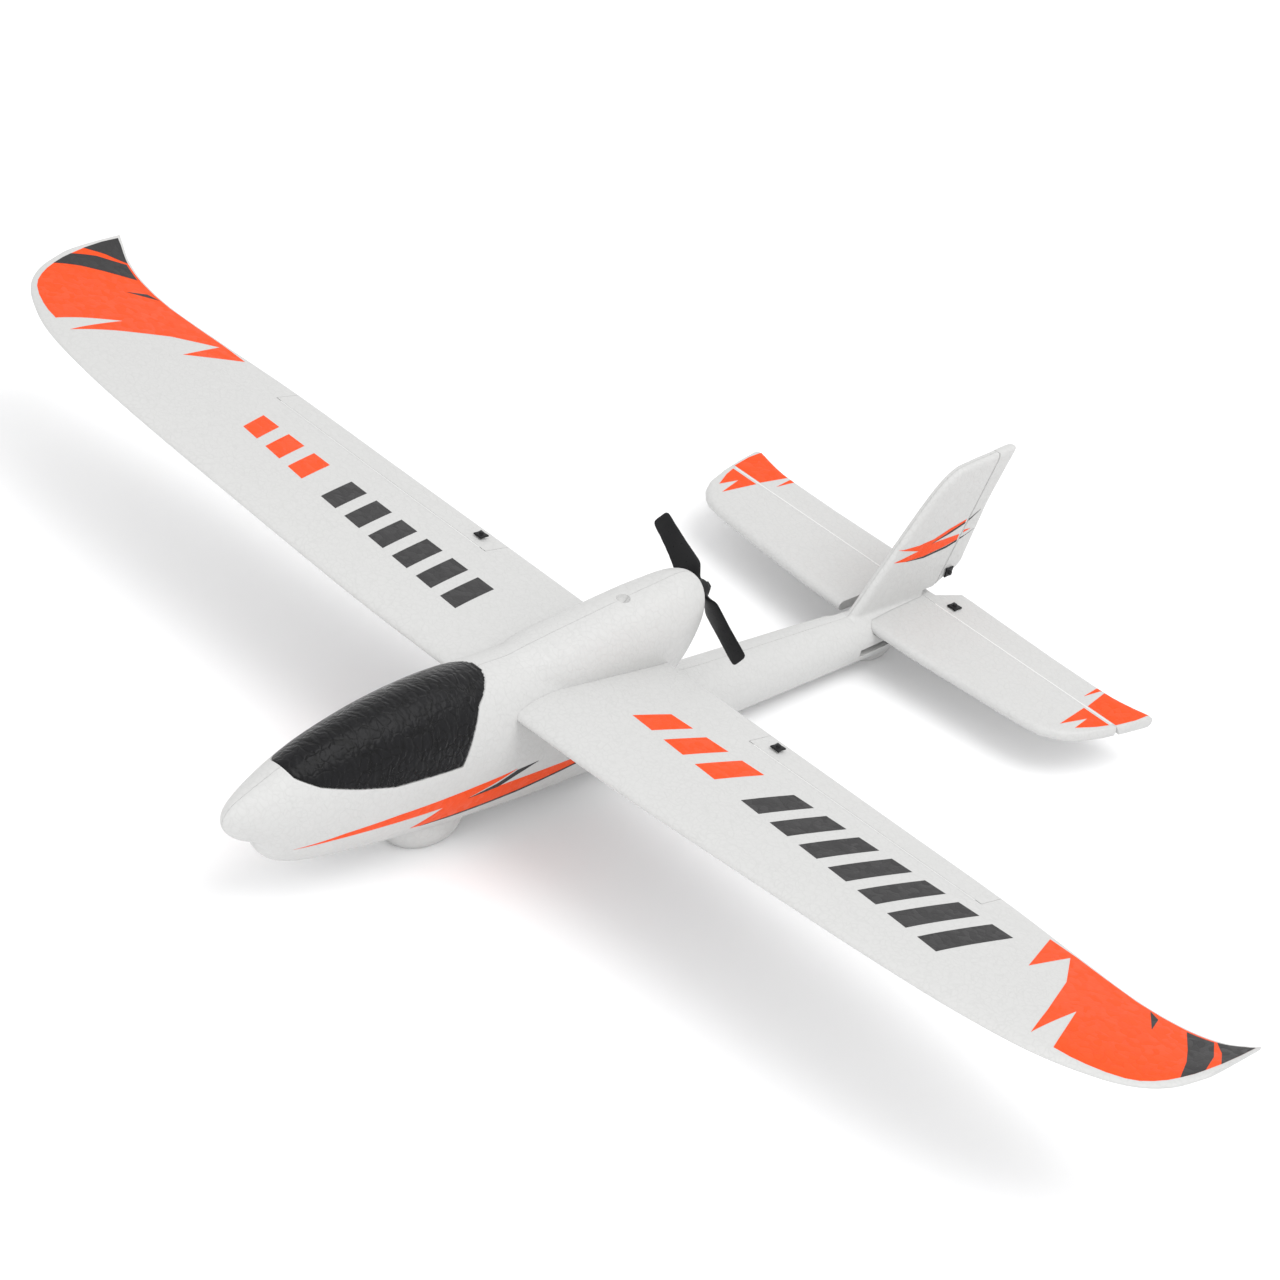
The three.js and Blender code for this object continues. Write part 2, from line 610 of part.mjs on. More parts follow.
function addEquipment() {
  const [, , height] = BATTERY;
  addPiece("equipment_tray", equipmentTray(), "carbon");
  addPiece("battery", roundedBlock(BATTERY, [0, -136, TRAY_TOP + GAP + height / 2], 2), "batteryWrap");
  addPiece("battery_strap", batteryStrap(), "strap");
  addPiece("control_board", controlBoard(), "board");
  addPiece("hatch_keeper", bar("z", 3, [0, MAGNET_Y, LEDGE_TOP + GAP], 0.8), "steel");
  addPiece("hatch_magnet", bar("z", 2.6, [0, MAGNET_Y, LEDGE_TOP + 1.5], 2), "magnet");
}

function addDrive() {
  addPiece("motor", motorBody(), "steel");
  addPiece("motor_mount", motorMount(), "blackPlastic");
  for (const [name, side] of [["motor_screw_left", 1], ["motor_screw_right", -1]])
    addPiece(name, motorScrew(), "steel", groupAt(4.3 * side, MOTOR_BACK + MOTOR_LENGTH + 2.6, THRUST_Z));
  const shaftStart = MOTOR_BACK + MOTOR_LENGTH + GAP;
  const shaftEnd = THRUST_Y + PROPELLER_HUB + 2.2;
  const shaft = bar("y", SHAFT_RADIUS, [0, shaftStart, THRUST_Z], shaftEnd - shaftStart, 16);
  addPiece("motor_shaft", shaft, "steel");
  addPiece("propeller", propeller(), "blackPlastic");
  const nut = bar("y", 2.2, [0, THRUST_Y + PROPELLER_HUB + GAP, THRUST_Z], 2.2, 6);
  const nutHole = bar("y", SHAFT_RADIUS + 0.05, [0, 20, THRUST_Z], 20, 16);
  addPiece("propeller_nut", nut.subtract(nutHole), "blackPlastic");
}

function addTailControls() {
  const { x, y, z } = BODY_SERVO;
  const wireZ = z - SERVO_ARM;
  const left = groupAt(x, y, z);
  left.rotation.z = Math.PI;
  const right = groupAt(-x, y, z);
  // The left servo is turned round and the right one mirrored, so that both arms face the middle.
  addPiece("elevator_servo", mirroredY(servoCase()), "servoCase", left);
  addPiece("elevator_servo_arm", servoArm(), "blackPlastic", left);
  addPiece("rudder_servo", servoCase(), "servoCase", right);
  addPiece("rudder_servo_arm", servoArm(), "blackPlastic", right);
  const elevatorRoute = [
    [0.9, y - 1, wireZ], [2.2, -10, 18], [3.2, 40, 14.6], [4, 100, 13.2], [4.8, 126, 12.6], [8.6, 146, 12],
    [ELEVATOR_HORN.x - 1.8, ELEVATOR_HORN.y - 12, 11.2],
    [ELEVATOR_HORN.x - 1.5, ELEVATOR_HORN.y + 1, ELEVATOR_HORN.wire]];
  const rudderRoute = [
    [-0.9, y - 1, wireZ], [-2.2, -10, 18], [-3.2, 40, 14.6], [-4, 100, 13.2], [-5.2, 124, 13.6],
    [-7, 148, 18.8], [-8.4, 162, 25], [-9.2, 173, 29.6], [-9.6, RUDDER_HORN.y, RUDDER_HORN.z + 1.4]];
  addPiece("elevator_pushrod", wire(elevatorRoute, WIRE_RADIUS, 60), "steel");
  addPiece("rudder_pushrod", wire(rudderRoute, WIRE_RADIUS, 60), "steel");
  const under = STAB_TOP - STAB_THICKNESS - GAP;
  const elevatorHorn = controlHorn(under - ELEVATOR_HORN.wire + 1.2);
  addPiece("elevator_horn", elevatorHorn, "blackPlastic", groupAt(ELEVATOR_HORN.x, ELEVATOR_HORN.y, under));
  const topPlate = groupAt(ELEVATOR_HORN.x, ELEVATOR_HORN.y, STAB_TOP + GAP);
  addPiece("elevator_horn_plate", hornPlate(), "blackPlastic", topPlate);
  const rudderPieces = [["rudder_horn", controlHorn(8.2), -1], ["rudder_horn_plate", hornPlate(), 1]];
  for (const [name, body, side] of rudderPieces) {
    const group = groupAt(side * (FIN_THICKNESS / 2 + GAP), RUDDER_HORN.y, RUDDER_HORN.z);
    group.rotation.y = Math.PI / 2;
    addPiece(name, body, "blackPlastic", group);
  }
}

function mirroredY(body) {
  return solid(geometryOf(body).scale(1, -1, 1));
}

function addAileronControls() {
  const { x, y, z } = WING_SERVO;
  const wireX = x + GAP + 1.2 + 0.9;
  const under = AILERON_HORN.z;
  const pieces = [
    ["servo", servoCase(), "servoCase", [x, y, z]],
    ["servo_arm", servoArm(), "blackPlastic", [x, y, z]],
    ["pushrod", wire([[wireX, y - 1, z - SERVO_ARM], [wireX, AILERON_HORN.y + 1, under - AILERON_HORN.drop]],
      WIRE_RADIUS, 4), "steel", [0, 0, 0]],
    ["horn", controlHorn(AILERON_HORN.drop + 1.2), "blackPlastic", [x + GAP + 0.6, AILERON_HORN.y, under]],
    ["horn_plate", hornPlate(), "blackPlastic", [x + GAP + 0.6, AILERON_HORN.y, AILERON_HORN.top]],
  ];
  for (const [name, body, finishName, place] of pieces) {
    const placed = body.translate(place);
    addPiece("aileron_left_" + name, placed, finishName);
    addPiece("aileron_right_" + name, mirrored(placed), finishName);
  }
}

addShell();
addEquipment();
addDrive();
addTailControls();
addAileronControls();

export default airplane;
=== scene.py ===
import math

import bmesh
import bpy
from mathutils import Matrix, Vector


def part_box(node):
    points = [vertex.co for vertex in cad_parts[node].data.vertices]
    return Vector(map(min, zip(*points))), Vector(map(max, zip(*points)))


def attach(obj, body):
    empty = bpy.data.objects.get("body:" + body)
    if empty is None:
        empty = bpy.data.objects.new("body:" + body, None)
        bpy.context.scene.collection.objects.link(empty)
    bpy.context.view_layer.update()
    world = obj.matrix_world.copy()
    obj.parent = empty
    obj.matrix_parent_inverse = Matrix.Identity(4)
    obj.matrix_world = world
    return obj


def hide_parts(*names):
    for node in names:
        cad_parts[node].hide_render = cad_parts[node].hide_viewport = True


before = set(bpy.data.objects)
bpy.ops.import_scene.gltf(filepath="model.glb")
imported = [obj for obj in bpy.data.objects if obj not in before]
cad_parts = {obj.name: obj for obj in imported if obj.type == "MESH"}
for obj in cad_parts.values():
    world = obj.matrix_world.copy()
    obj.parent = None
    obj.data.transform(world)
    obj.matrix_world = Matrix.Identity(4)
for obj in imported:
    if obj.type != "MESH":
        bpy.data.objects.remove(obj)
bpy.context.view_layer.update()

# Viewpoint: the model sits on a white studio sweep and is looked at from above, ahead and to port,
# with the horizon rolled. A long lens keeps the wings' proportions.
AZIMUTH = math.radians(36.4638)
ELEVATION = math.radians(31.5205)
ROLL = math.radians(14.4898)

back = Vector((math.sin(AZIMUTH) * math.cos(ELEVATION), -math.cos(AZIMUTH) * math.cos(ELEVATION),
               math.sin(ELEVATION)))
level = Vector((math.cos(AZIMUTH), math.sin(AZIMUTH), 0))
right = math.cos(ROLL) * level + math.sin(ROLL) * back.cross(level)
camera = bpy.data.objects.new("camera", bpy.data.cameras.new("camera"))
camera.data.lens = 142.13
camera.data.sensor_width = 36
camera.data.clip_end = 50
camera.matrix_world = Matrix.Translation((0.954676, -1.292889, 1.037712)) @ Matrix(
    (right, back.cross(right), back)).transposed().to_4x4()
bpy.context.scene.collection.objects.link(camera)
bpy.context.scene.camera = camera


def softbox(name, place, size, watts):
    """A square studio light that points at the model."""
    lamp = bpy.data.objects.new(name, bpy.data.lights.new(name, "AREA"))
    lamp.data.size = size
    lamp.data.energy = watts
    lamp.location = place
    lamp.rotation_euler = Vector(place).to_track_quat("Z", "Y").to_euler()
    bpy.context.scene.collection.objects.link(lamp)


softbox("key_light", (0.9, 0.5, 2.5), 2.2, 30)
softbox("front_fill", (0.9, -2.4, 1.1), 1.6, 17)
world = bpy.data.worlds.new("studio")
world.use_nodes = True
world.node_tree.nodes["Background"].inputs["Color"].default_value = (1, 1, 1, 1)
world.node_tree.nodes["Background"].inputs["Strength"].default_value = 1.0
bpy.context.scene.world = world
bpy.context.scene.view_settings.view_transform = "Standard"

floor_shape = bpy.data.meshes.new("studio_floor")
floor_shape.from_pydata([(-9, -9, 0), (9, -9, 0), (9, 9, 0), (-9, 9, 0)], [], [(0, 1, 2, 3)])
floor = bpy.data.objects.new("studio_floor", floor_shape)
bpy.context.scene.collection.objects.link(floor)
paper = bpy.data.materials.new("studio_paper")
paper.use_nodes = True
paper.node_tree.nodes["Principled BSDF"].inputs["Base Color"].default_value = (0.94, 0.94, 0.945, 1)
paper.node_tree.nodes["Principled BSDF"].inputs["Roughness"].default_value = 0.9
floor_shape.materials.append(paper)

# Foam skin: the whole airframe is moulded in white bead foam. Flattened beads show as faint cells,
# a few millimetres across, under a satin skin.
MM = 0.001


def socket(tree, name, kind, in_out, value=None):
    """One named input or output of a node group."""
    made = tree.interface.new_socket(name, in_out=in_out, socket_type="NodeSocket" + kind)
    if value is not None:
        made.default_value = value


def node(tree, kind, **values):
    """A shader node with its properties, and its inputs by name with spaces written as underscores."""
    made = tree.nodes.new("ShaderNode" + kind)
    for key, value in values.items():
        if key[0].isupper():
            made.inputs[key.replace("_", " ")].default_value = value
        else:
            setattr(made, key, value)
    return made


def bead_cells():
    """Outlines and tone of the flattened beads in a moulded foam skin."""
    tree = bpy.data.node_groups.new("bead_cells", "ShaderNodeTree")
    socket(tree, "Cells Per Metre", "Float", "INPUT", 380.0)
    socket(tree, "Outline Depth", "Float", "INPUT", 0.5)
    socket(tree, "Skin Color", "Color", "INPUT", (0.9, 0.9, 0.9, 1))
    socket(tree, "Seam Color", "Color", "INPUT", (0.8, 0.8, 0.8, 1))
    socket(tree, "Smooth", "Float", "INPUT", 0.4)
    socket(tree, "Rough", "Float", "INPUT", 0.6)
    socket(tree, "Color", "Color", "OUTPUT")
    socket(tree, "Height", "Float", "OUTPUT")
    socket(tree, "Roughness", "Float", "OUTPUT")
    given, result = tree.nodes.new("NodeGroupInput"), tree.nodes.new("NodeGroupOutput")
    link = tree.links.new
    place = node(tree, "TexCoord")
    warp = node(tree, "TexNoise", Scale=130.0, Detail=2.0)
    bent = node(tree, "MixRGB", blend_type="ADD", Fac=0.006)
    cells = node(tree, "TexVoronoi", feature="DISTANCE_TO_EDGE", Randomness=0.95)
    tones = node(tree, "TexVoronoi", feature="F1", Randomness=0.95)
    outline = node(tree, "MapRange", From_Min=0.0, From_Max=0.16, To_Min=1.0, To_Max=0.0)
    grain = node(tree, "TexNoise", Scale=2600.0, Detail=3.0)
    tone = node(tree, "SeparateColor")
    seam = node(tree, "Math", operation="MULTIPLY")
    patchy = node(tree, "MapRange", From_Min=0.0, From_Max=1.0, To_Min=0.25, To_Max=1.0)
    shade = node(tree, "Math", operation="MULTIPLY")
    color = node(tree, "Mix", data_type="RGBA")
    low = node(tree, "Math", operation="MULTIPLY_ADD")
    low.inputs[1].default_value = -1.0
    fine = node(tree, "Math", operation="MULTIPLY_ADD")
    fine.inputs[1].default_value = 0.12
    rough = node(tree, "MapRange")
    link(place.outputs["Object"], warp.inputs["Vector"])
    link(place.outputs["Object"], bent.inputs[1])
    link(warp.outputs["Color"], bent.inputs[2])
    for each in (cells, tones):
        link(bent.outputs[0], each.inputs["Vector"])
        link(given.outputs["Cells Per Metre"], each.inputs["Scale"])
    link(place.outputs["Object"], grain.inputs["Vector"])
    link(cells.outputs["Distance"], outline.inputs["Value"])
    link(tones.outputs["Color"], tone.inputs["Color"])
    link(tone.outputs[0], patchy.inputs["Value"])
    link(outline.outputs["Result"], seam.inputs[0])
    link(given.outputs["Outline Depth"], seam.inputs[1])
    link(seam.outputs[0], shade.inputs[0])
    link(patchy.outputs["Result"], shade.inputs[1])
    link(shade.outputs[0], color.inputs["Factor"])
    link(given.outputs["Skin Color"], color.inputs[6])
    link(given.outputs["Seam Color"], color.inputs[7])
    link(seam.outputs[0], low.inputs[0])
    link(tone.outputs[1], low.inputs[2])
    link(grain.outputs["Fac"], fine.inputs[0])
    link(low.outputs[0], fine.inputs[2])
    link(tone.outputs[2], rough.inputs["Value"])
    link(given.outputs["Smooth"], rough.inputs["To Min"])
    link(given.outputs["Rough"], rough.inputs["To Max"])
    link(color.outputs[2], result.inputs["Color"])
    link(fine.outputs[0], result.inputs["Height"])
    link(rough.outputs["Result"], result.inputs["Roughness"])
    return tree


BEAD_CELLS = bead_cells()


def foam_skin(name, skin, seam, cells, depth, bump, gloss=0.5, sheen=(0.42, 0.62)):
    """A bead foam finish, plain or printed, whose bumps come from the cells. Sheen is its roughness."""
    material = bpy.data.materials.new(name)
    material.use_nodes = True
    tree = material.node_tree
    shader = tree.nodes["Principled BSDF"]
    shader.inputs["Specular IOR Level"].default_value = gloss
    beads = node(tree, "Group", node_tree=BEAD_CELLS)
    for key, value in (("Cells Per Metre", cells), ("Outline Depth", depth), ("Skin Color", (*skin, 1)),
                       ("Seam Color", (*seam, 1)), ("Smooth", sheen[0]), ("Rough", sheen[1])):
        beads.inputs[key].default_value = value
    relief = node(tree, "Bump", Strength=bump, Distance=0.00012)
    tree.links.new(beads.outputs["Color"], shader.inputs["Base Color"])
    tree.links.new(beads.outputs["Roughness"], shader.inputs["Roughness"])
    tree.links.new(beads.outputs["Height"], relief.inputs["Height"])
    tree.links.new(relief.outputs["Normal"], shader.inputs["Normal"])
    return material


WHITE_FOAM = foam_skin("white_foam", (0.545, 0.545, 0.539), (0.475, 0.475, 0.469), cells=400.0,
                       depth=0.45, bump=0.55)
# Hinge creases: pressed foam given a lighter colour than the skin. The raised ridge is real, and the
# lighter colour is a painted highlight along it.
CREASE_HIGHLIGHT_FOAM = foam_skin("crease_highlight_foam", (0.69, 0.69, 0.683), (0.65, 0.65, 0.642), cells=900.0,
                         depth=0.2, bump=0.1)

# Fuselage: two foam half shells glued on the centre line, with the motor pylon, the belly and tail
# bulges that it rests on, and the fin in the same moulding. The nose is hollow for the battery.
FOAM_WALL = 4
FIT = 0.3
FUSELAGE = [  # Y, half width, bottom, height of the widest point, top
    [-210, 0.9, 40.4, 41.8, 43.2], [-207, 4, 35.8, 41.6, 47.2], [-202, 6.8, 32, 41.4, 50],
    [-196, 9.2, 29.4, 41, 52.8], [-192.5, 10.4, 27.6, 40.8, 54.4], [-188, 11.8, 20.8, 40.6, 56.4],
    [-180, 13.8, 15.8, 40.2, 59.6], [-165, 16.8, 12.4, 40, 64], [-140, 20, 10, 39.6, 68.6],
    [-114, 21.6, 8, 38.8, 70.8], [-90, 22, 6.2, 37.4, 70], [-60, 21.4, 4.2, 35.4, 69],
    [-30, 20, 3.2, 32.4, 65], [-5, 17.4, 2.9, 25.4, 50], [15, 15.2, 2.7, 18.4, 34],
    [30, 14.3, 2.6, 15.8, 29.4], [60, 13.2, 2.4, 14.8, 27.2], [100, 11.8, 2.2, 13.4, 24.8],
    [130, 10.7, 2.2, 12.2, 23], [152, 9.6, 2.2, 11.8, 22], [163, 8.2, 4.6, 13.2, 21.6],
    [172, 5.4, 10.4, 16.4, 21.2],
]
PYLON = [  # the same columns
    [-84, 9, 46, 56, 68.6], [-60, 15.4, 40, 57, 72], [-30, 16.2, 36, 57.6, 75.2], [-8, 16, 30, 59, 77.4],
    [4, 15, 28, 60, 78.4], [12, 13.4, 34, 61.4, 79], [18, 11, 43, 62.6, 77.8], [22, 8.2, 52, 64, 75],
    [25, 3.6, 59, 65.8, 71.2],
]
FIN = [  # Z, leading edge Y, trailing edge Y
    [21.7, 127, 178.4], [24.6, 129.2, 181.6], [27.6, 131.4, 188.2], [31, 133.8, 193.6],
    [36, 137.3, 194.9], [51.4, 148.4, 198.9], [57.4, 152.7, 200.4], [67, 160, 204.2], [73.6, 166, 207],
    [77.8, 172, 208.9], [79.6, 178, 209.6], [80.4, 192, 209.9], [81.4, 205, 209.6],
]
FIN_THICKNESS = 4.6
RUDDER_FOOT = (178.8, 25.2)
RUDDER_HEAD = (198, 80)
THRUST_Z = 66.9
MOTOR_BACK = -3


def smooth_rows(rows, steps):
    """Rows between hand-set ones, on a smooth curve through them."""
    made = []
    for s in range(len(rows) - 1):
        before, here = rows[max(s - 1, 0)], rows[s]
        after, beyond = rows[s + 1], rows[min(s + 2, len(rows) - 1)]
        for k in range(steps):
            t = k / steps
            row = []
            for p, q, r, u in zip(before, here, after, beyond):
                enter, leave, rise = (r - p) / 2, (u - q) / 2, r - q
                row.append(q + enter * t + (3 * rise - 2 * enter - leave) * t ** 2
                           + (enter + leave - 2 * rise) * t ** 3)
            made.append(row)
    return made + [rows[-1]]


def placed(name, shape):
    """A mesh object made from finished mesh data."""
    mesh = bpy.data.meshes.new(name)
    shape.to_mesh(mesh)
    shape.free()
    made = bpy.data.objects.new(name, mesh)
    bpy.context.scene.collection.objects.link(made)
    return made


def loft(name, rings):
    """A closed skin over rings of equal point counts, given in millimetres."""
    shape = bmesh.new()
    rows = [[shape.verts.new(Vector(point) * MM) for point in ring] for ring in rings]
    count = len(rows[0])
    for near, far in zip(rows, rows[1:]):
        for i in range(count):
            j = (i + 1) % count
            shape.faces.new((near[i], near[j], far[j], far[i]))
    ends = [shape.faces.new(rows[0][::-1]), shape.faces.new(rows[-1])]
    bmesh.ops.triangulate(shape, faces=ends)
    bmesh.ops.recalc_face_normals(shape, faces=shape.faces)
    if shape.calc_volume(signed=True) < 0:
        bmesh.ops.reverse_faces(shape, faces=shape.faces)
    return placed(name, shape)


def prism(outline, axis, low, high):
    """A block with the given outline, from low to high along X (outline in Y, Z) or Z (in X, Y)."""
    put = {"x": lambda u, v, w: (w, u, v), "z": lambda u, v, w: (u, v, w)}[axis]
    return loft("block", [[put(u, v, w) for u, v in outline] for w in (low, high)])


def box(low, high):
    (x0, y0, z0), (x1, y1, z1) = low, high
    return prism([(x0, y0), (x1, y0), (x1, y1), (x0, y1)], "z", z0, z1)


def bar(axis, radius, start, length, sides=32):
    """A round bar from a point along +X, +Y or +Z."""
    turn = [(radius * math.cos(2 * math.pi * i / sides), radius * math.sin(2 * math.pi * i / sides))
            for i in range(sides)]
    x, y, z = start
    put = {"x": lambda u, v, w: (x + w, y + u, z + v), "y": lambda u, v, w: (x + u, y + w, z + v),
           "z": lambda u, v, w: (x + u, y + v, z + w)}[axis]
    return loft("bar", [[put(u, v, w) for u, v in turn] for w in (0, length)])


def ball(radii, centre):
    """An ellipsoid as a stack of rings."""
    rings = []
    for k in range(1, 24):
        lift, reach = -math.cos(math.pi * k / 24), math.sin(math.pi * k / 24)
        rings.append([(centre[0] + radii[0] * reach * math.cos(math.pi * i / 24),
                       centre[1] + radii[1] * reach * math.sin(math.pi * i / 24),
                       centre[2] + radii[2] * lift) for i in range(48)])
    return loft("ball", rings)


def body_loft(rows, steps, inset=0.0, sides=72):
    """The skin of the fuselage or pylon, inset by the foam's wall for the hollow inside it."""
    rings = []
    for y, half_width, bottom, waist, top in smooth_rows(rows, steps):
        ring = []
        for i in range(sides):
            angle = 2 * math.pi * (i + 0.5) / sides
            reach = (top - waist if math.sin(angle) > 0 else waist - bottom) - inset
            ring.append(((half_width - inset) * math.cos(angle), y, waist + reach * math.sin(angle)))
        rings.append(ring)
    return loft("body", rings)


def plate_ring(lead, trail, thickness, put, corner=3.0):
    """A flat section with rounded edges, as points from the leading edge round and back."""
    chord = trail - lead
    ring = []
    for i in range(64):
        angle = 2 * math.pi * i / 64
        along = (1 - math.cos(angle)) / 2
        distance = min(along, 1 - along) * chord
        round_off = math.sqrt(max(0.0, 1 - (1 - min(distance / corner, 1)) ** 2))
        height = math.copysign(max(round_off, 0.08) * thickness / 2, math.sin(angle))
        ring.append(put(lead + along * chord, height if 0 < i % 32 else 0.0))
    return ring


def settled(piece):
    """The piece with its modifiers worked into its mesh."""
    shape = bpy.data.meshes.new_from_object(piece.evaluated_get(bpy.context.evaluated_depsgraph_get()))
    piece.modifiers.clear()
    piece.data = shape
    return piece


def copied(piece, name="copy"):
    made = bpy.data.objects.new(name, piece.data.copy())
    bpy.context.scene.collection.objects.link(made)
    return made


def discard(*pieces):
    for piece in pieces:
        bpy.data.objects.remove(piece)


def worked(piece, operation, *tools, keep=()):
    """Cuts, joins or intersects the piece with each tool in turn."""
    for tool in tools:
        step = piece.modifiers.new("step", "BOOLEAN")
        step.operation = operation
        step.solver = "MANIFOLD"
        step.object = tool
    settled(piece)
    discard(*[tool for tool in tools if tool not in keep])
    return piece


def fused(name, pieces, grain, passes):
    """Overlapping solids drawn together into one moulding with softened inner corners."""
    shape = bmesh.new()
    for each in pieces:
        shape.from_mesh(each.data)
    discard(*pieces)
    made = placed(name, shape)
    remesh = made.modifiers.new("skin", "REMESH")
    remesh.mode = "VOXEL"
    remesh.voxel_size = grain * MM
    smooth = made.modifiers.new("soften", "SMOOTH")
    smooth.iterations = passes
    return settled(made)


def mirrored(piece, name):
    """The same piece for the other side of the aeroplane."""
    made = copied(piece, name)
    made.data.transform(Matrix.Scale(-1, 4, (1, 0, 0)))
    made.data.flip_normals()
    return made


def dressed(piece, material, angle=40):
    """Gives the piece its finish and smooths its shading, apart from real edges."""
    piece.data.materials.clear()
    piece.data.materials.append(material)
    piece.data.polygons.foreach_set("material_index", [0] * len(piece.data.polygons))
    piece.data.polygons.foreach_set("use_smooth", [True] * len(piece.data.polygons))
    piece.data.set_sharp_from_angle(angle=math.radians(angle))
    return piece


def fitted(piece, name, material, body, angle=40):
    """Puts a finished piece on the model in place of the node of the same name."""
    piece.name = name
    dressed(piece, material, angle)
    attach(piece, body)
    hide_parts(name)
    return piece


def swept(profile, start, end, aft):
    """A profile drawn along a straight line: u points aft, square to the line, v completes the set."""
    start, end, u = Vector(start), Vector(end), Vector(aft)
    along = (end - start).normalized()
    u = (u - along * u.dot(along)).normalized()
    v = along.cross(u)
    return loft("swept", [[tuple(at + u * p + v * q) for p, q in profile] for at in (start, end)])


def fin_plate():
    return loft("fin", [plate_ring(lead, trail, FIN_THICKNESS, lambda y, x, z=z: (x, y, z))
                        for z, lead, trail in smooth_rows(FIN, 4)])


def rudder_line(profile):
    """A profile along the rudder's hinge line, run past both its ends."""
    (y0, z0), (y1, z1) = RUDDER_FOOT, RUDDER_HEAD
    extra = 6 * (y1 - y0) / (z1 - z0)
    return swept(profile, (0, y0 - extra, z0 - 6), (0, y1 + extra, z1 + 6), (0, 1, 0))


belly_bulge = ball((12, 18.5, 11), (0, -104, 7.4))
tail_bulge = ball((7, 12, 7), (0, 148, 4.6))
moulding = fused("moulding", [
    body_loft(FUSELAGE, 4), body_loft(PYLON, 4), belly_bulge, tail_bulge, fin_plate()], 0.8, 10)

# Wing: two foam panels with slight dihedral and raked, upswept tips, glued into the fuselage round a
# carbon spar. Each aileron is part of the panel's moulding, freed at its ends and bent along a crease.
WING = [  # X, leading edge Y and Z, trailing edge Y and Z, thickness
    [13, -85.5, 55.4, -1.2, 50.2, 8.6], [70, -86.4, 57.2, -2.7, 51.9, 8.2],
    [130, -86.6, 60.6, -4.6, 53.7, 7.4], [186, -86.2, 63.8, -6.6, 55.6, 6.6],
    [225, -83.8, 65.4, -10.6, 57.6, 5.6], [255, -78.2, 65.8, -13.2, 59.2, 4.8],
    [275, -69, 65.2, -11.2, 60.2, 4], [288, -59.6, 65, -7.8, 62, 3.2],
    [296, -48.2, 65.4, -4.6, 64.8, 2.6], [300, -34, 66.4, -3.4, 67, 1.8],
]
AILERON_INNER = (69.7, -15.8, 55.6)
AILERON_OUTER = (186.4, -18.8, 59.4)
BEVEL = math.tan(math.radians(32))
HINGE_GAP = 0.06
CLEAR = 2  # how far a hinge cutter runs past the front of the piece that it cuts
CREASE_WIDTH = 0.6
CREASE_HEIGHT = 0.12


def wing_ring(row, grow):
    """A blunt wing section: round nose, thickest at a third, trailing edge about a millimetre thick."""
    x, lead_y, lead_z, trail_y, trail_z, thickness = row
    along = Vector((0, trail_y - lead_y, trail_z - lead_z))
    chord = along.length
    along.normalize()
    up = Vector((0, -along.z, along.y))
    start = Vector((x, lead_y, lead_z)) - along * grow
    half_count = 44
    ring = []
    for i in range(2 * half_count):
        upper = i < half_count
        step = i / half_count if upper else 2 - i / half_count
        t = (1 - math.cos(math.pi * step)) / 2
        shape = 2.97 * math.sqrt(t) - 1.26 * t - 3.52 * t ** 2 + 2.84 * t ** 3 - 0.86 * t ** 4
        half = thickness / 2 * shape + 0.5 * t + grow
        ring.append(tuple(start + along * t * (chord + 2 * grow) + up * half * (1.15 if upper else -0.85)))
    return ring


def wing_solid(grow=0.0):
    rows = smooth_rows(WING, 7)
    rows[0] = [rows[0][0] - grow] + list(rows[0][1:])
    return loft("wing", [wing_ring(row, grow) for row in rows])


def above_chord():
    """Everything over the wing's chord plane, for what is on its upper skin only."""
    rings = []
    for x, lead_y, lead_z, trail_y, trail_z, _ in smooth_rows(WING, 7):
        rings.append([(x, lead_y - 4, lead_z), (x, trail_y + 4, trail_z), (x, trail_y + 4, 90),
                      (x, lead_y - 4, 90)])
    return loft("above", rings)


def aileron_line(profile, extra=5.0):
    start, end = Vector(AILERON_INNER), Vector(AILERON_OUTER)
    run = (end - start).normalized() * extra
    return swept(profile, start - run, end + run, (0, 1, 0))


wing_skin = wing_solid()
bay = worked(aileron_line([(-HINGE_GAP, -14), (30, -14), (30, 8), (-HINGE_GAP, 8)]), "INTERSECT",
             box((AILERON_INNER[0] + FIT / 2, -60, 0), (AILERON_OUTER[0] - FIT / 2, 60, 90)))
wedge = aileron_line([(-CLEAR, 6), (HINGE_GAP, 6), (HINGE_GAP, 0), (14 * BEVEL, -14), (-CLEAR, -14)])
spar_hole = bar("x", 1.8, (-62, -58, 54.6), 124, 24)
crease = worked(wing_solid(CREASE_HEIGHT), "DIFFERENCE", wing_skin, keep=(wing_skin,))
crease_front = -HINGE_GAP - CREASE_WIDTH
worked(crease, "INTERSECT", aileron_line(
    [(crease_front, -2), (-HINGE_GAP, -2), (-HINGE_GAP, 8), (crease_front, 8)], -3.0))
servo_low, servo_high = (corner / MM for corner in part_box("aileron_left_servo"))
pocket = box((servo_low.x - 0.6, servo_low.y - 1, 40),
             (servo_high.x - 0.6, servo_high.y + 1, servo_high.z + FIT))
arm_way = box((servo_high.x - 1, -53, 40), (servo_high.x + 3, -41, servo_high.z - 0.2))
aileron = worked(copied(wing_skin), "INTERSECT", bay, keep=(bay,))
worked(aileron, "DIFFERENCE", wedge)
worked(aileron, "INTERSECT", box((AILERON_INNER[0] + FIT, -40, 30), (AILERON_OUTER[0] - FIT, 20, 80)))
panel = worked(copied(wing_skin), "DIFFERENCE", bay, spar_hole, pocket, arm_way, keep=(spar_hole,))
fitted(mirrored(panel, "wing_right"), "wing_right", WHITE_FOAM, "airframe", 30)
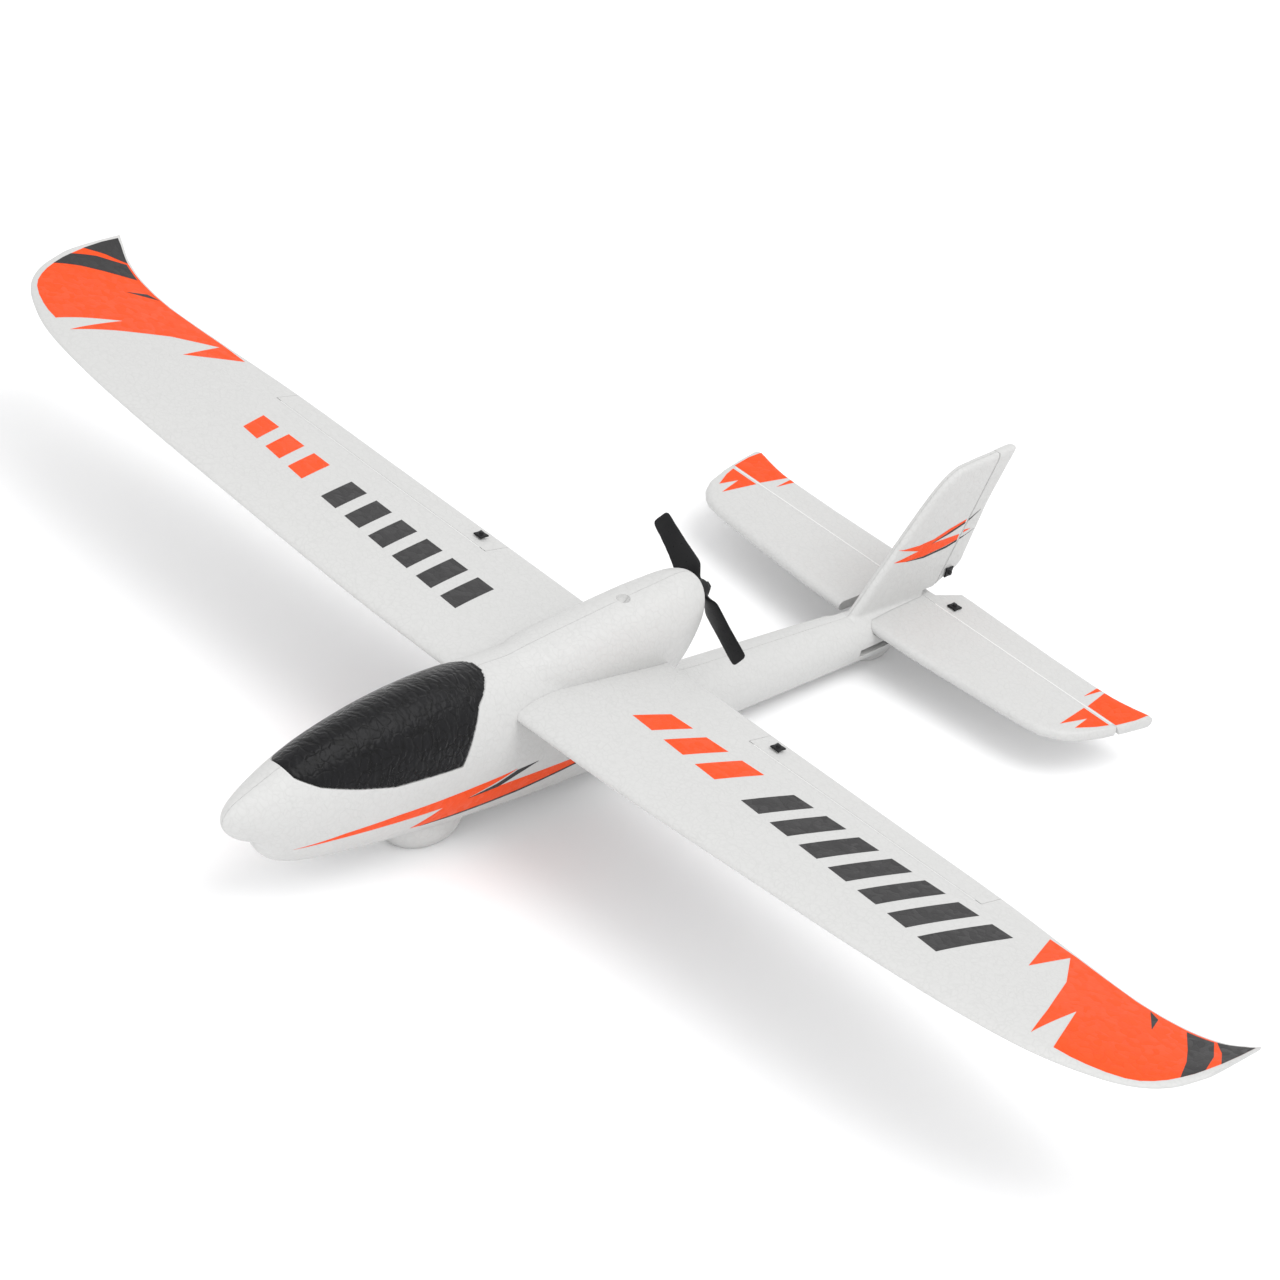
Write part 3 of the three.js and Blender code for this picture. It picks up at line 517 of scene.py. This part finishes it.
fitted(mirrored(aileron, "aileron_right"), "aileron_right", WHITE_FOAM, "aileron_right", 30)
fitted(panel, "wing_left", WHITE_FOAM, "airframe", 30)
# The aileron creases carry the painted highlight: a lighter foam colour along the raised hinge ridge.
crease.name = "aileron_crease_left"
for each in (crease, mirrored(crease, "aileron_crease_right")):
    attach(dressed(each, CREASE_HIGHLIGHT_FOAM), "airframe")
fitted(aileron, "aileron_left", WHITE_FOAM, "aileron_left", 30)

# Tailplane: one flat foam plate with rounded edges and raked tips. The elevator is its rear strip,
# hinged on a crease along the top, with a joiner that passes under the fin.
TAILPLANE = [  # X, leading edge Y, trailing edge Y
    [0, 135.8, 179.2], [4.4, 135.8, 179.6], [7, 135.9, 184.8], [9.6, 136, 190.1], [16, 136.2, 190.1],
    [30, 136.6, 189.7], [60, 139.2, 189], [82, 141.2, 189.2], [90, 143.1, 189.6], [94, 145.6, 190.2],
    [98, 149.6, 191.1], [101, 154.8, 191.9], [104, 165, 192.9], [106.4, 176.6, 193.5],
    [107.9, 186.5, 193.3], [108.4, 191.4, 192.4],
]
STAB_TOP = 21.2
STAB_THICKNESS = 4.4
HINGE_Y = 172.8


def tail_plate(grow=0.0):
    middle = STAB_TOP - STAB_THICKNESS / 2
    rows = [row for k in range(len(TAILPLANE) - 1) for row in (
        TAILPLANE[k], [(a + b) / 2 for a, b in zip(TAILPLANE[k], TAILPLANE[k + 1])])] + [TAILPLANE[-1]]
    rows = [[-x, lead, trail] for x, lead, trail in rows[:0:-1]] + rows
    return loft("tailplane", [plate_ring(lead - grow, trail + grow, STAB_THICKNESS + 2 * grow,
                                         lambda y, z, x=x: (x, y, middle + z)) for x, lead, trail in rows])


tail_skin = tail_plate()
aft = box((-120, HINGE_Y - HINGE_GAP, 0), (120, 240, 40))
tail_wedge = swept([(-CLEAR, 6), (HINGE_GAP, 6), (HINGE_GAP, 0), (8 * BEVEL, -8), (-CLEAR, -8)],
                   (-120, HINGE_Y, STAB_TOP), (120, HINGE_Y, STAB_TOP), (0, 1, 0))
elevator = worked(copied(tail_skin), "INTERSECT", aft, keep=(aft,))
worked(elevator, "DIFFERENCE", tail_wedge)
tail_crease = worked(tail_plate(CREASE_HEIGHT), "DIFFERENCE", tail_skin, keep=(tail_skin,))
worked(tail_crease, "INTERSECT", box((-103, HINGE_Y - 0.75, 19), (103, HINGE_Y - HINGE_GAP, 24)))
worked(tail_crease, "DIFFERENCE", box((-9, 100, 0), (9, 240, 40)))
# The elevator crease carries the painted highlight: a lighter foam colour along the raised hinge ridge.
tail_crease.name = "elevator_crease"
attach(dressed(tail_crease, CREASE_HIGHLIGHT_FOAM), "airframe")
stabiliser = worked(copied(tail_skin), "DIFFERENCE", aft, box((-10.6, 132, 0), (-4.6, 164, 40)))
fitted(elevator, "elevator", WHITE_FOAM, "elevator", 30)
fitted(stabiliser, "stabiliser", WHITE_FOAM, "airframe", 30)

# Canopy hatch: a separate foam lid over the nose bay, painted glossy black, so that the beads under
# the paint read as overlapping ripples. A magnet at its rear edge holds it down.
HATCH_EDGE = [  # Y, Z down the front, along the sill and up the rear edge
    (-196, 66), (-187.6, 60), (-184.6, 55.6), (-176, 52.2), (-160, 48.8), (-144.5, 46.2), (-113, 45.6),
    (-107.4, 56.4), (-102.6, 63.6), (-95, 68), (-91, 70.4), (-91, 80), (-196, 80),
]


def fuselage_hollow():
    """The room inside the fuselage, with the motor's bore, its mount's recess and the wires' way."""
    motor_bore = bar("y", 6.3, (0, MOTOR_BACK - 2, THRUST_Z), 20.4)
    shaft_hole = bar("y", 2.2, (0, 12, THRUST_Z), 16, 24)
    mount_recess = bar("y", 7.7, (0, MOTOR_BACK + 18, THRUST_Z), 4.6)
    wire_way = box((-3, MOTOR_BACK - 2, 30), (3, MOTOR_BACK + 4, THRUST_Z))
    rows = [row for row in FUSELAGE if -184 < row[0] < 160]
    hollow = worked(body_loft(rows, 3, FOAM_WALL, 48), "UNION", motor_bore, shaft_hole, mount_recess,
                    wire_way)
    return worked(hollow, "DIFFERENCE", box((-30, -104.4, 53.6), (30, -92, 60)))


def ripple_paint():
    """Gloss black paint over foam."""
    material = foam_skin("black_foam", (0.008, 0.008, 0.009), (0.003, 0.003, 0.003), cells=250.0,
                         depth=0.9, bump=0.7, gloss=0.16, sheen=(0.2, 0.32))
    tree = material.node_tree
    shader = tree.nodes["Principled BSDF"]
    place = node(tree, "TexCoord")
    ripple = node(tree, "TexWave", wave_type="RINGS", rings_direction="SPHERICAL", Scale=110.0,
                  Distortion=7.0, Detail=2.0, Detail_Scale=2.0)
    rise = node(tree, "Bump", Strength=0.42, Distance=0.0003)
    tree.links.new(place.outputs["Object"], ripple.inputs["Vector"])
    tree.links.new(ripple.outputs["Fac"], rise.inputs["Height"])
    tree.links.new(tree.nodes["Bump"].outputs["Normal"], rise.inputs["Normal"])
    tree.links.new(rise.outputs["Normal"], shader.inputs["Normal"])
    return material


hollow = fuselage_hollow()
hatch_cut = prism(HATCH_EDGE, "x", -40, 40)
hatch = worked(copied(moulding), "INTERSECT", hatch_cut)
pad = box((-3.6, -104, 63.8), (3.6, -98.6, 69))
lid_room = worked(copied(hollow), "DIFFERENCE", pad)
worked(hatch, "DIFFERENCE", lid_room)
remesh = hatch.modifiers.new("skin", "REMESH")
remesh.mode = "VOXEL"
remesh.voxel_size = 0.45 * MM
soften = hatch.modifiers.new("soften", "SMOOTH")
soften.iterations = 6
fitted(settled(hatch), "canopy_hatch", ripple_paint(), "hatch", 60)

# Fuselage halves and rudder: the moulding less its hatch, hollow, wing roots, tail slot and the ways
# for the pushrods. A faint joint line is left where the halves are glued. The rudder hangs behind the
# fin on a crease, with a V-shaped front edge.
SEAM = 0.05
ROOT_FIT = 0.03
RUDDER_BEVEL = math.tan(math.radians(22))

behind_fin = rudder_line([(-HINGE_GAP, -5), (60, -5), (60, 5), (-HINGE_GAP, 5)])
mouth = FIN_THICKNESS * RUDDER_BEVEL
vee = rudder_line([(-CLEAR, -FIN_THICKNESS), (mouth, -FIN_THICKNESS), (HINGE_GAP, 0),
                   (mouth, FIN_THICKNESS), (-CLEAR, FIN_THICKNESS)])
rudder = worked(copied(moulding), "INTERSECT", behind_fin, keep=(behind_fin,))
worked(rudder, "INTERSECT", box((-10, 150, 24.5), (10, 240, 90)))
worked(rudder, "DIFFERENCE", vee)
fitted(rudder, "rudder", WHITE_FOAM, "rudder", 30)

hatch_hole = [prism([(y + dy, z + dz) for y, z in HATCH_EDGE], "x", -40, 40)
              for dy, dz in ((FIT / 2, 0), (-FIT / 2, 0), (0, -FIT / 2))]
wing_root = worked(wing_solid(ROOT_FIT), "INTERSECT", box((0, -120, 0), (60, 40, 90)))
under_floor = box((-100, -300, -40), (100, 300, 0))
joiner_way = box((-30, HINGE_Y - 1.4, 12), (30, 182.4, 24.2))
rudder_rod_way = box((-12, 123.4, 11.6), (-4.4, 172, 28))
elevator_rod_way = box((4, 128, 10.4), (20, 164, 13.5))
pylon_dimple = ball((2.9, 2.9, 3.4), (0, -17.6, 77.4))
shell = worked(copied(moulding), "DIFFERENCE", behind_fin, hollow, *hatch_hole,
               mirrored(wing_root, "root"), wing_root, tail_plate(0.2), spar_hole, under_floor,
               joiner_way, rudder_rod_way, elevator_rod_way, pylon_dimple)
left_side, right_side = box((SEAM, -300, -10), (100, 300, 200)), box((-100, -300, -10), (-SEAM, 300, 200))
for name, side in (("fuselage_left", left_side), ("fuselage_right", right_side)):
    fitted(worked(copied(shell), "INTERSECT", side), name, WHITE_FOAM, "airframe", 35)
discard(shell)

# Printed trim: orange and charcoal flashes on the tips, nose and fin, thin as ink, and a row of
# slanted bars on each wing. The print follows the foam, so the beads show through it.
ORANGE = foam_skin("orange_print", (0.82, 0.07, 0.006), (0.72, 0.05, 0.004), cells=360.0, depth=0.5,
                   bump=0.4, gloss=0.22)
CHARCOAL = foam_skin("charcoal_print", (0.034, 0.033, 0.034), (0.02, 0.02, 0.02), cells=360.0,
                     depth=0.5, bump=0.4, gloss=0.22)
INK = 0.06


def ink_coat(skin, thickness):
    """A closed coat of even thickness all over a skin."""
    coat = copied(skin)
    lift = [tuple(vertex.co + vertex.normal * thickness * MM) for vertex in coat.data.vertices]
    coat.data.vertices.foreach_set("co", [value for point in lift for value in point])
    coat.data.update()
    return worked(coat, "DIFFERENCE", skin, keep=(skin,))


def printed(coat, name, outlines, material, body, axis, low, high, within=None):
    """The part of an ink coat inside the outlines, which are in millimetres seen along an axis."""
    shape = bmesh.new()
    for outline in outlines:
        block = prism(outline, axis, low, high)
        mark = worked(copied(coat), "INTERSECT", block)
        if within:
            worked(mark, "INTERSECT", within, keep=(within,))
        shape.from_mesh(mark.data)
        discard(mark)
    made = dressed(placed(name, shape), material)
    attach(made, body)
    return made


TIP_ORANGE = [
    (212.8, -11.4), (222.4, -36.5), (224.6, -14.5), (235.5, -31), (245, -54), (251.2, -71), (250.2, -44),
    (256, -58), (260.8, -70.2), (267, -68.6), (272.5, -66.4), (279, -63.2), (284.6, -59.5), (288.2, -56),
    (291, -51.8), (293.4, -47), (295, -42.3), (296.6, -36.4), (297.4, -31.4), (298.4, -24), (299, -14),
    (298.9, -5.2), (296, -5.9), (288, -9.1), (281, -10.9), (275, -12.2), (265, -13.6), (255, -14.1),
    (240, -13), (225, -11.6),
]
TIP_BLACK = [
    [(295, -42.3), (296.6, -36.4), (297.4, -31.4), (293.3, -21), (286.2, -10.6), (276.3, -13.2),
     (284.6, -24.1), (289.9, -32)],
    [(298.4, -24), (299, -14), (298.9, -5.2), (296, -5.9), (288, -9.1), (286.8, -9.6), (293.2, -16.2)],
    [(269.7, -25.2), (261.2, -14.6), (266.2, -16.6)],
]


def bars(first, last, front, back_edge, count, fill):
    """Slanted bars between two X places. The strip's front and back edges run straight between them."""
    made = []
    pitch = (last - first) / count
    for i in range(count):
        start = first + i * pitch
        corners = []
        for x, edge in ((start, front), (start + fill * pitch, front),
                        (start + fill * pitch, back_edge), (start, back_edge)):
            t = (x - first) / (last - first)
            lean = 5 if edge is back_edge else 0
            corners.append((x + math.copysign(lean, first), edge[0] + t * (edge[1] - edge[0])))
        made.append(corners if first > 0 else corners[::-1])
    return made


upper = above_chord()
thin, thick = ink_coat(wing_skin, INK), ink_coat(wing_skin, 1.8 * INK)
wing_print = ("airframe", "z", 40, 90, upper)
for name, outlines, material, coat in (
        ("tip_orange", [TIP_ORANGE], ORANGE, thin), ("tip_black", TIP_BLACK, CHARCOAL, thick)):
    made = printed(coat, name + "_left", outlines, material, *wing_print)
    other = dressed(mirrored(made, name + "_right"), material)
    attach(other, "airframe")
printed(thin, "bars_orange_left", bars(40, 92, (-48, -53), (-32, -30), 3, 0.62), ORANGE, *wing_print)
printed(thin, "bars_charcoal_left", bars(100, 208, (-54, -65), (-30, -26), 7, 0.62), CHARCOAL, *wing_print)
for name, strip, material in (
        ("bars_charcoal_right", bars(42, 126, (-60, -56), (-34, -35), 6, 0.62), CHARCOAL),
        ("bars_orange_right", bars(133, 176, (-55, -51), (-35, -36), 3, 0.62), ORANGE)):
    made = printed(thin, name + "_plan", strip, material, *wing_print)
    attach(dressed(mirrored(made, name), material), "airframe")
    discard(made)
discard(thin, thick, upper, wing_skin)

NOSE_ORANGE = [  # Y, Z
    (-182.4, 27.1), (-162.8, 30.5), (-139.9, 32.7), (-119.9, 33.5), (-104.4, 34.3), (-91.3, 34.7),
    (-82.9, 35.2), (-93, 32.4), (-105.9, 29.4), (-97, 30), (-80.2, 29.5), (-50, 28.1), (-12, 26.2),
    (-47.7, 24.9), (-76.5, 22.4), (-101.5, 21.5), (-124.4, 20.9), (-129.3, 21.4), (-117.7, 28.7),
    (-143, 28.7), (-166.6, 28.3),
]
NOSE_BLACK = [
    [(-105.9, 29.2), (-92.4, 31.5), (-82.8, 34.6), (-71.9, 34.9), (-82, 32.4), (-91, 29.6)],
    [(-12, 26.1), (-47.7, 24.8), (-76.5, 22.3), (-101.5, 21.4), (-124.4, 20.8), (-110, 20.1), (-76.5, 21.1),
     (-47.7, 23.9)],
]
FIN_ORANGE = [
    (148, 49.6), (160.3, 48.7), (168.9, 49.2), (178, 51.6), (187.6, 53.3), (187.2, 52.3), (178.5, 50.1),
    (168.2, 47.3), (177.5, 47.1), (185.3, 46.9), (184.9, 44.5), (178.3, 43.4), (164.9, 42.3), (153.7, 42.9),
    (146.1, 44.4), (160.5, 45.9),
]
FIN_BLACK = [
    [(168.2, 47.2), (178.5, 50), (187.2, 52.2), (187.1, 51.3), (178.5, 49)],
    [(153.8, 42.8), (165, 42.2), (178.7, 43.2), (184.9, 44.4), (184.6, 43.5), (178.7, 42.2), (165, 41.4)],
]
RUDDER_ORANGE = [(187.6, 46.9), (187.9, 48.2), (191.8, 47.7)]
RUDDER_BLACK = [
    [(189.2, 53), (195.3, 55.8), (189, 52.1)], [(186.6, 44.9), (189.3, 45.3), (194.3, 46.9), (186.4, 44.1)],
]
STAB_ORANGE = [(89.8, 171), (92.3, 153), (95.5, 166.2), (97.3, 156.4), (101.2, 165), (103, 171)]
ELEVATOR_ORANGE = [
    [(89.8, 173.4), (87, 187.5), (95, 189.2), (104, 191.9), (106.4, 192.5), (106.2, 184), (104.4, 173.4)],
    [(84.3, 177.6), (83.2, 187.3), (85.5, 187.9)],
]
thin, thick = ink_coat(moulding, INK), ink_coat(moulding, 1.8 * INK)
flashes = [
    ("nose_orange", [NOSE_ORANGE], ORANGE, thin, "airframe", "x", 5, 60),
    ("nose_black", NOSE_BLACK, CHARCOAL, thick, "airframe", "x", 5, 60),
    ("fin_orange", [FIN_ORANGE], ORANGE, thin, "airframe", "x", 0.5, 60),
    ("fin_black", FIN_BLACK, CHARCOAL, thick, "airframe", "x", 0.5, 60),
    ("rudder_orange", [RUDDER_ORANGE], ORANGE, thin, "rudder", "x", 0.5, 60),
    ("rudder_black", RUDDER_BLACK, CHARCOAL, thick, "rudder", "x", 0.5, 60),
]
tail_coat = ink_coat(tail_skin, INK)
flashes += [
    ("stab_orange", [STAB_ORANGE], ORANGE, tail_coat, "airframe", "z", 19.2, 60),
    ("elevator_orange", ELEVATOR_ORANGE, ORANGE, tail_coat, "elevator", "z", 19.2, 60),
]
for name, outlines, material, coat, body, axis, low, high in flashes:
    made = printed(coat, name + "_left", outlines, material, body, axis, low, high)
    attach(dressed(mirrored(made, name + "_right"), material), body)
discard(thin, thick, tail_coat, tail_skin, moulding)

# Moulded nylon: control horns with their clamping plates, servo arms and the motor mount, all satin
# black, with rounded edges and the faint flow marks of injection moulding.


def fine_grain():
    """Slow mottling and a fine tooth, with varying roughness, for moulded, drawn or printed surfaces."""
    tree = bpy.data.node_groups.new("fine_grain", "ShaderNodeTree")
    socket(tree, "Grain Per Metre", "Float", "INPUT", 900.0)
    socket(tree, "Stretch", "Vector", "INPUT", (1, 1, 1))
    socket(tree, "Light Color", "Color", "INPUT", (0.1, 0.1, 0.1, 1))
    socket(tree, "Dark Color", "Color", "INPUT", (0.05, 0.05, 0.05, 1))
    socket(tree, "Smooth", "Float", "INPUT", 0.3)
    socket(tree, "Rough", "Float", "INPUT", 0.5)
    socket(tree, "Color", "Color", "OUTPUT")
    socket(tree, "Height", "Float", "OUTPUT")
    socket(tree, "Roughness", "Float", "OUTPUT")
    given, result = tree.nodes.new("NodeGroupInput"), tree.nodes.new("NodeGroupOutput")
    link = tree.links.new
    place = node(tree, "TexCoord")
    stretch = node(tree, "VectorMath", operation="MULTIPLY")
    slow = node(tree, "TexNoise", Scale=140.0, Detail=3.0)
    tooth = node(tree, "TexNoise", Detail=4.0)
    color = node(tree, "Mix", data_type="RGBA")
    rough = node(tree, "MapRange", From_Min=0.3, From_Max=0.7)
    link(place.outputs["Object"], stretch.inputs[0])
    link(given.outputs["Stretch"], stretch.inputs[1])
    for each in (slow, tooth):
        link(stretch.outputs[0], each.inputs["Vector"])
    link(given.outputs["Grain Per Metre"], tooth.inputs["Scale"])
    link(slow.outputs["Fac"], color.inputs["Factor"])
    link(given.outputs["Light Color"], color.inputs[6])
    link(given.outputs["Dark Color"], color.inputs[7])
    link(tooth.outputs["Fac"], rough.inputs["Value"])
    link(given.outputs["Smooth"], rough.inputs["To Min"])
    link(given.outputs["Rough"], rough.inputs["To Max"])
    link(color.outputs[2], result.inputs["Color"])
    link(tooth.outputs["Fac"], result.inputs["Height"])
    link(rough.outputs["Result"], result.inputs["Roughness"])
    return tree


FINE_GRAIN = fine_grain()


def grained(name, light, dark, smooth, rough, grain, metallic=0.0, stretch=(1, 1, 1), bump=0.25,
            gloss=0.5):
    """A finish whose colour, roughness and tooth come from the fine grain."""
    material = bpy.data.materials.new(name)
    material.use_nodes = True
    tree = material.node_tree
    shader = tree.nodes["Principled BSDF"]
    shader.inputs["Metallic"].default_value = metallic
    shader.inputs["Specular IOR Level"].default_value = gloss
    source = node(tree, "Group", node_tree=FINE_GRAIN)
    for key, value in (("Grain Per Metre", grain), ("Stretch", stretch), ("Light Color", (*light, 1)),
                       ("Dark Color", (*dark, 1)), ("Smooth", smooth), ("Rough", rough)):
        source.inputs[key].default_value = value
    relief = node(tree, "Bump", Strength=bump, Distance=0.00005)
    tree.links.new(source.outputs["Color"], shader.inputs["Base Color"])
    tree.links.new(source.outputs["Roughness"], shader.inputs["Roughness"])
    tree.links.new(source.outputs["Height"], relief.inputs["Height"])
    tree.links.new(relief.outputs["Normal"], shader.inputs["Normal"])
    return material


def softened(name, material, body, edge=0.2, angle=30):
    """A design solid with its facets merged and its edges rounded, in place of the plain node."""
    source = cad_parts[name]
    made = copied(source, name)
    shape = bmesh.new()
    shape.from_mesh(made.data)
    bmesh.ops.remove_doubles(shape, verts=shape.verts, dist=1e-6)
    bmesh.ops.dissolve_limit(shape, angle_limit=math.radians(1), verts=shape.verts, edges=shape.edges)
    shape.to_mesh(made.data)
    shape.free()
    bevel = made.modifiers.new("edge", "BEVEL")
    bevel.width = edge * MM
    bevel.segments = 3
    bevel.limit_method = "ANGLE"
    bevel.angle_limit = math.radians(angle)
    bevel.harden_normals = False
    return fitted(settled(made), name, material, body, 50)


NYLON = grained("black_nylon", (0.014, 0.014, 0.015), (0.008, 0.008, 0.009), 0.26, 0.44, 1500.0, gloss=0.2)
for side in ("left", "right"):
    softened(f"aileron_{side}_horn", NYLON, f"aileron_{side}", 0.15)
    softened(f"aileron_{side}_horn_plate", NYLON, f"aileron_{side}", 0.25)
    softened(f"aileron_{side}_servo_arm", NYLON, f"aileron_{side}_arm", 0.15)
for surface in ("elevator", "rudder"):
    softened(f"{surface}_horn", NYLON, surface, 0.15)
    softened(f"{surface}_horn_plate", NYLON, surface, 0.25)
    softened(f"{surface}_servo_arm", NYLON, f"{surface}_arm", 0.15)
softened("motor_mount", NYLON, "airframe")

# Servos and pushrods: four sub-micro servos in blue cases, and bent wires of bright drawn steel from
# each arm to its horn.
SERVO_CASE = grained("servo_case", (0.03, 0.085, 0.24), (0.02, 0.06, 0.18), 0.2, 0.36, 1200.0)
BRIGHT_STEEL = grained("bright_steel", (0.66, 0.67, 0.69), (0.5, 0.51, 0.53), 0.16, 0.36, 1800.0,
                      metallic=1.0)
for name in ("elevator_servo", "rudder_servo", "aileron_left_servo", "aileron_right_servo"):
    softened(name, SERVO_CASE, "airframe", 0.3)
for name in ("elevator", "rudder", "aileron_left", "aileron_right"):
    rod = copied(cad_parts[f"{name}_pushrod"])
    shape = bmesh.new()
    shape.from_mesh(rod.data)
    bmesh.ops.remove_doubles(shape, verts=shape.verts, dist=1e-6)
    shape.to_mesh(rod.data)
    shape.free()
    fitted(rod, f"{name}_pushrod", BRIGHT_STEEL, f"{name}_rod", 60)

# Drive: a small can motor in the pylon turns a two-blade pusher propeller, moulded in black nylon and
# held by a nut with a rounded nose.
REST_ANGLE = math.radians(147)
BLADE = [  # radius, leading side, trailing side, thickness, twist in degrees
    [1.5, 2.2, 2.2, 2.4, 34], [4, 2.6, 2.6, 2.2, 28], [6, 4.2, 4, 1.9, 22], [8.5, 6.1, 5.6, 1.7, 17],
    [12, 5.9, 5.6, 1.5, 14], [18, 5.2, 5.1, 1.3, 10.5], [25, 4.9, 4.8, 1.1, 6.5],
    [29.8, 4.8, 4.6, 0.95, 4.5], [31, 4.2, 4, 0.8, 4], [31.5, 3.1, 2.9, 0.5, 4],
]


def blade(turn):
    """One blade, running out from the hub at an angle in the X, Z plane, with its axis along Y."""
    hub_low, hub_high = (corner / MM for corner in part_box("propeller"))
    middle = (hub_low.y + hub_high.y) / 2
    out, across = Vector((math.cos(turn), 0, math.sin(turn))), Vector((-math.sin(turn), 0, math.cos(turn)))
    rings = []
    for radius, lead, trail, thickness, twist in smooth_rows(BLADE, 5):
        lean = math.radians(twist)
        chordwise = across * math.cos(lean) - Vector((0, 1, 0)) * math.sin(lean)
        normal = Vector((0, 1, 0)) * math.cos(lean) + across * math.sin(lean)
        centre = Vector((0, middle, THRUST_Z)) + out * radius
        ring = []
        for i in range(32):
            angle = 2 * math.pi * i / 32
            reach = math.cos(angle) * (lead if math.cos(angle) > 0 else trail)
            belly = 1.0 if math.sin(angle) > 0 else 0.6
            rise = math.sin(angle) * belly * thickness / 1.6
            ring.append(tuple(centre + chordwise * reach + normal * rise))
        rings.append(ring)
    return loft("blade", rings)


nut_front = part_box("propeller_nut")[0].y / MM
hub = [bar("y", 3.7, (0, nut_front - 4.1, THRUST_Z), 3.8), bar("y", 2.7, (0, nut_front - 4.4, THRUST_Z), 4)]
propeller = fused("propeller", [blade(REST_ANGLE), blade(REST_ANGLE + math.pi), *hub], 0.22, 6)
worked(propeller, "DIFFERENCE", bar("y", 0.8, (0, 10, THRUST_Z), 30, 24))
fitted(propeller, "propeller", NYLON, "propeller_drive", 50)
softened("propeller_nut", NYLON, "propeller_drive", 0.35)
softened("motor_shaft", BRIGHT_STEEL, "propeller_drive", 0.1)
MOTOR_CAN = grained("motor_can", (0.52, 0.53, 0.55), (0.4, 0.41, 0.43), 0.22, 0.42, 1600.0,
                    metallic=1.0, stretch=(1, 0.1, 1))
softened("motor", MOTOR_CAN, "airframe", 0.5)
for name in ("motor_screw_left", "motor_screw_right", "hatch_keeper"):
    softened(name, BRIGHT_STEEL, "airframe", 0.15)

# Spar and tray: a pultruded carbon rod through both wing roots, and a carbon plate in the nose that
# carries the battery and the electronics.
CARBON = grained("carbon_fibre", (0.035, 0.035, 0.037), (0.012, 0.012, 0.013), 0.25, 0.5, 2200.0,
                 stretch=(0.08, 1, 1))
softened("wing_spar", CARBON, "airframe", 0.2)
softened("equipment_tray", CARBON, "airframe", 0.25)

# Power and control: a single cell in blue shrink wrap under a hook-and-loop strap, a green control
# board with its chips, and the plated magnet in the hatch.
WRAP = grained("battery_wrap", (0.04, 0.11, 0.4), (0.025, 0.075, 0.3), 0.22, 0.4, 500.0, bump=0.6)
STRAP = grained("strap_webbing", (0.03, 0.03, 0.032), (0.012, 0.012, 0.012), 0.75, 0.95, 2600.0, bump=1.0)
BOARD = grained("circuit_board", (0.02, 0.13, 0.055), (0.012, 0.085, 0.035), 0.3, 0.5, 2000.0)
PLATING = grained("magnet_plating", (0.72, 0.72, 0.73), (0.6, 0.6, 0.61), 0.08, 0.22, 1500.0,
                    metallic=1.0)
softened("battery", WRAP, "airframe", 0.4)
softened("battery_strap", STRAP, "airframe", 0.3)
softened("control_board", BOARD, "airframe", 0.15)
softened("hatch_magnet", PLATING, "hatch", 0.3)
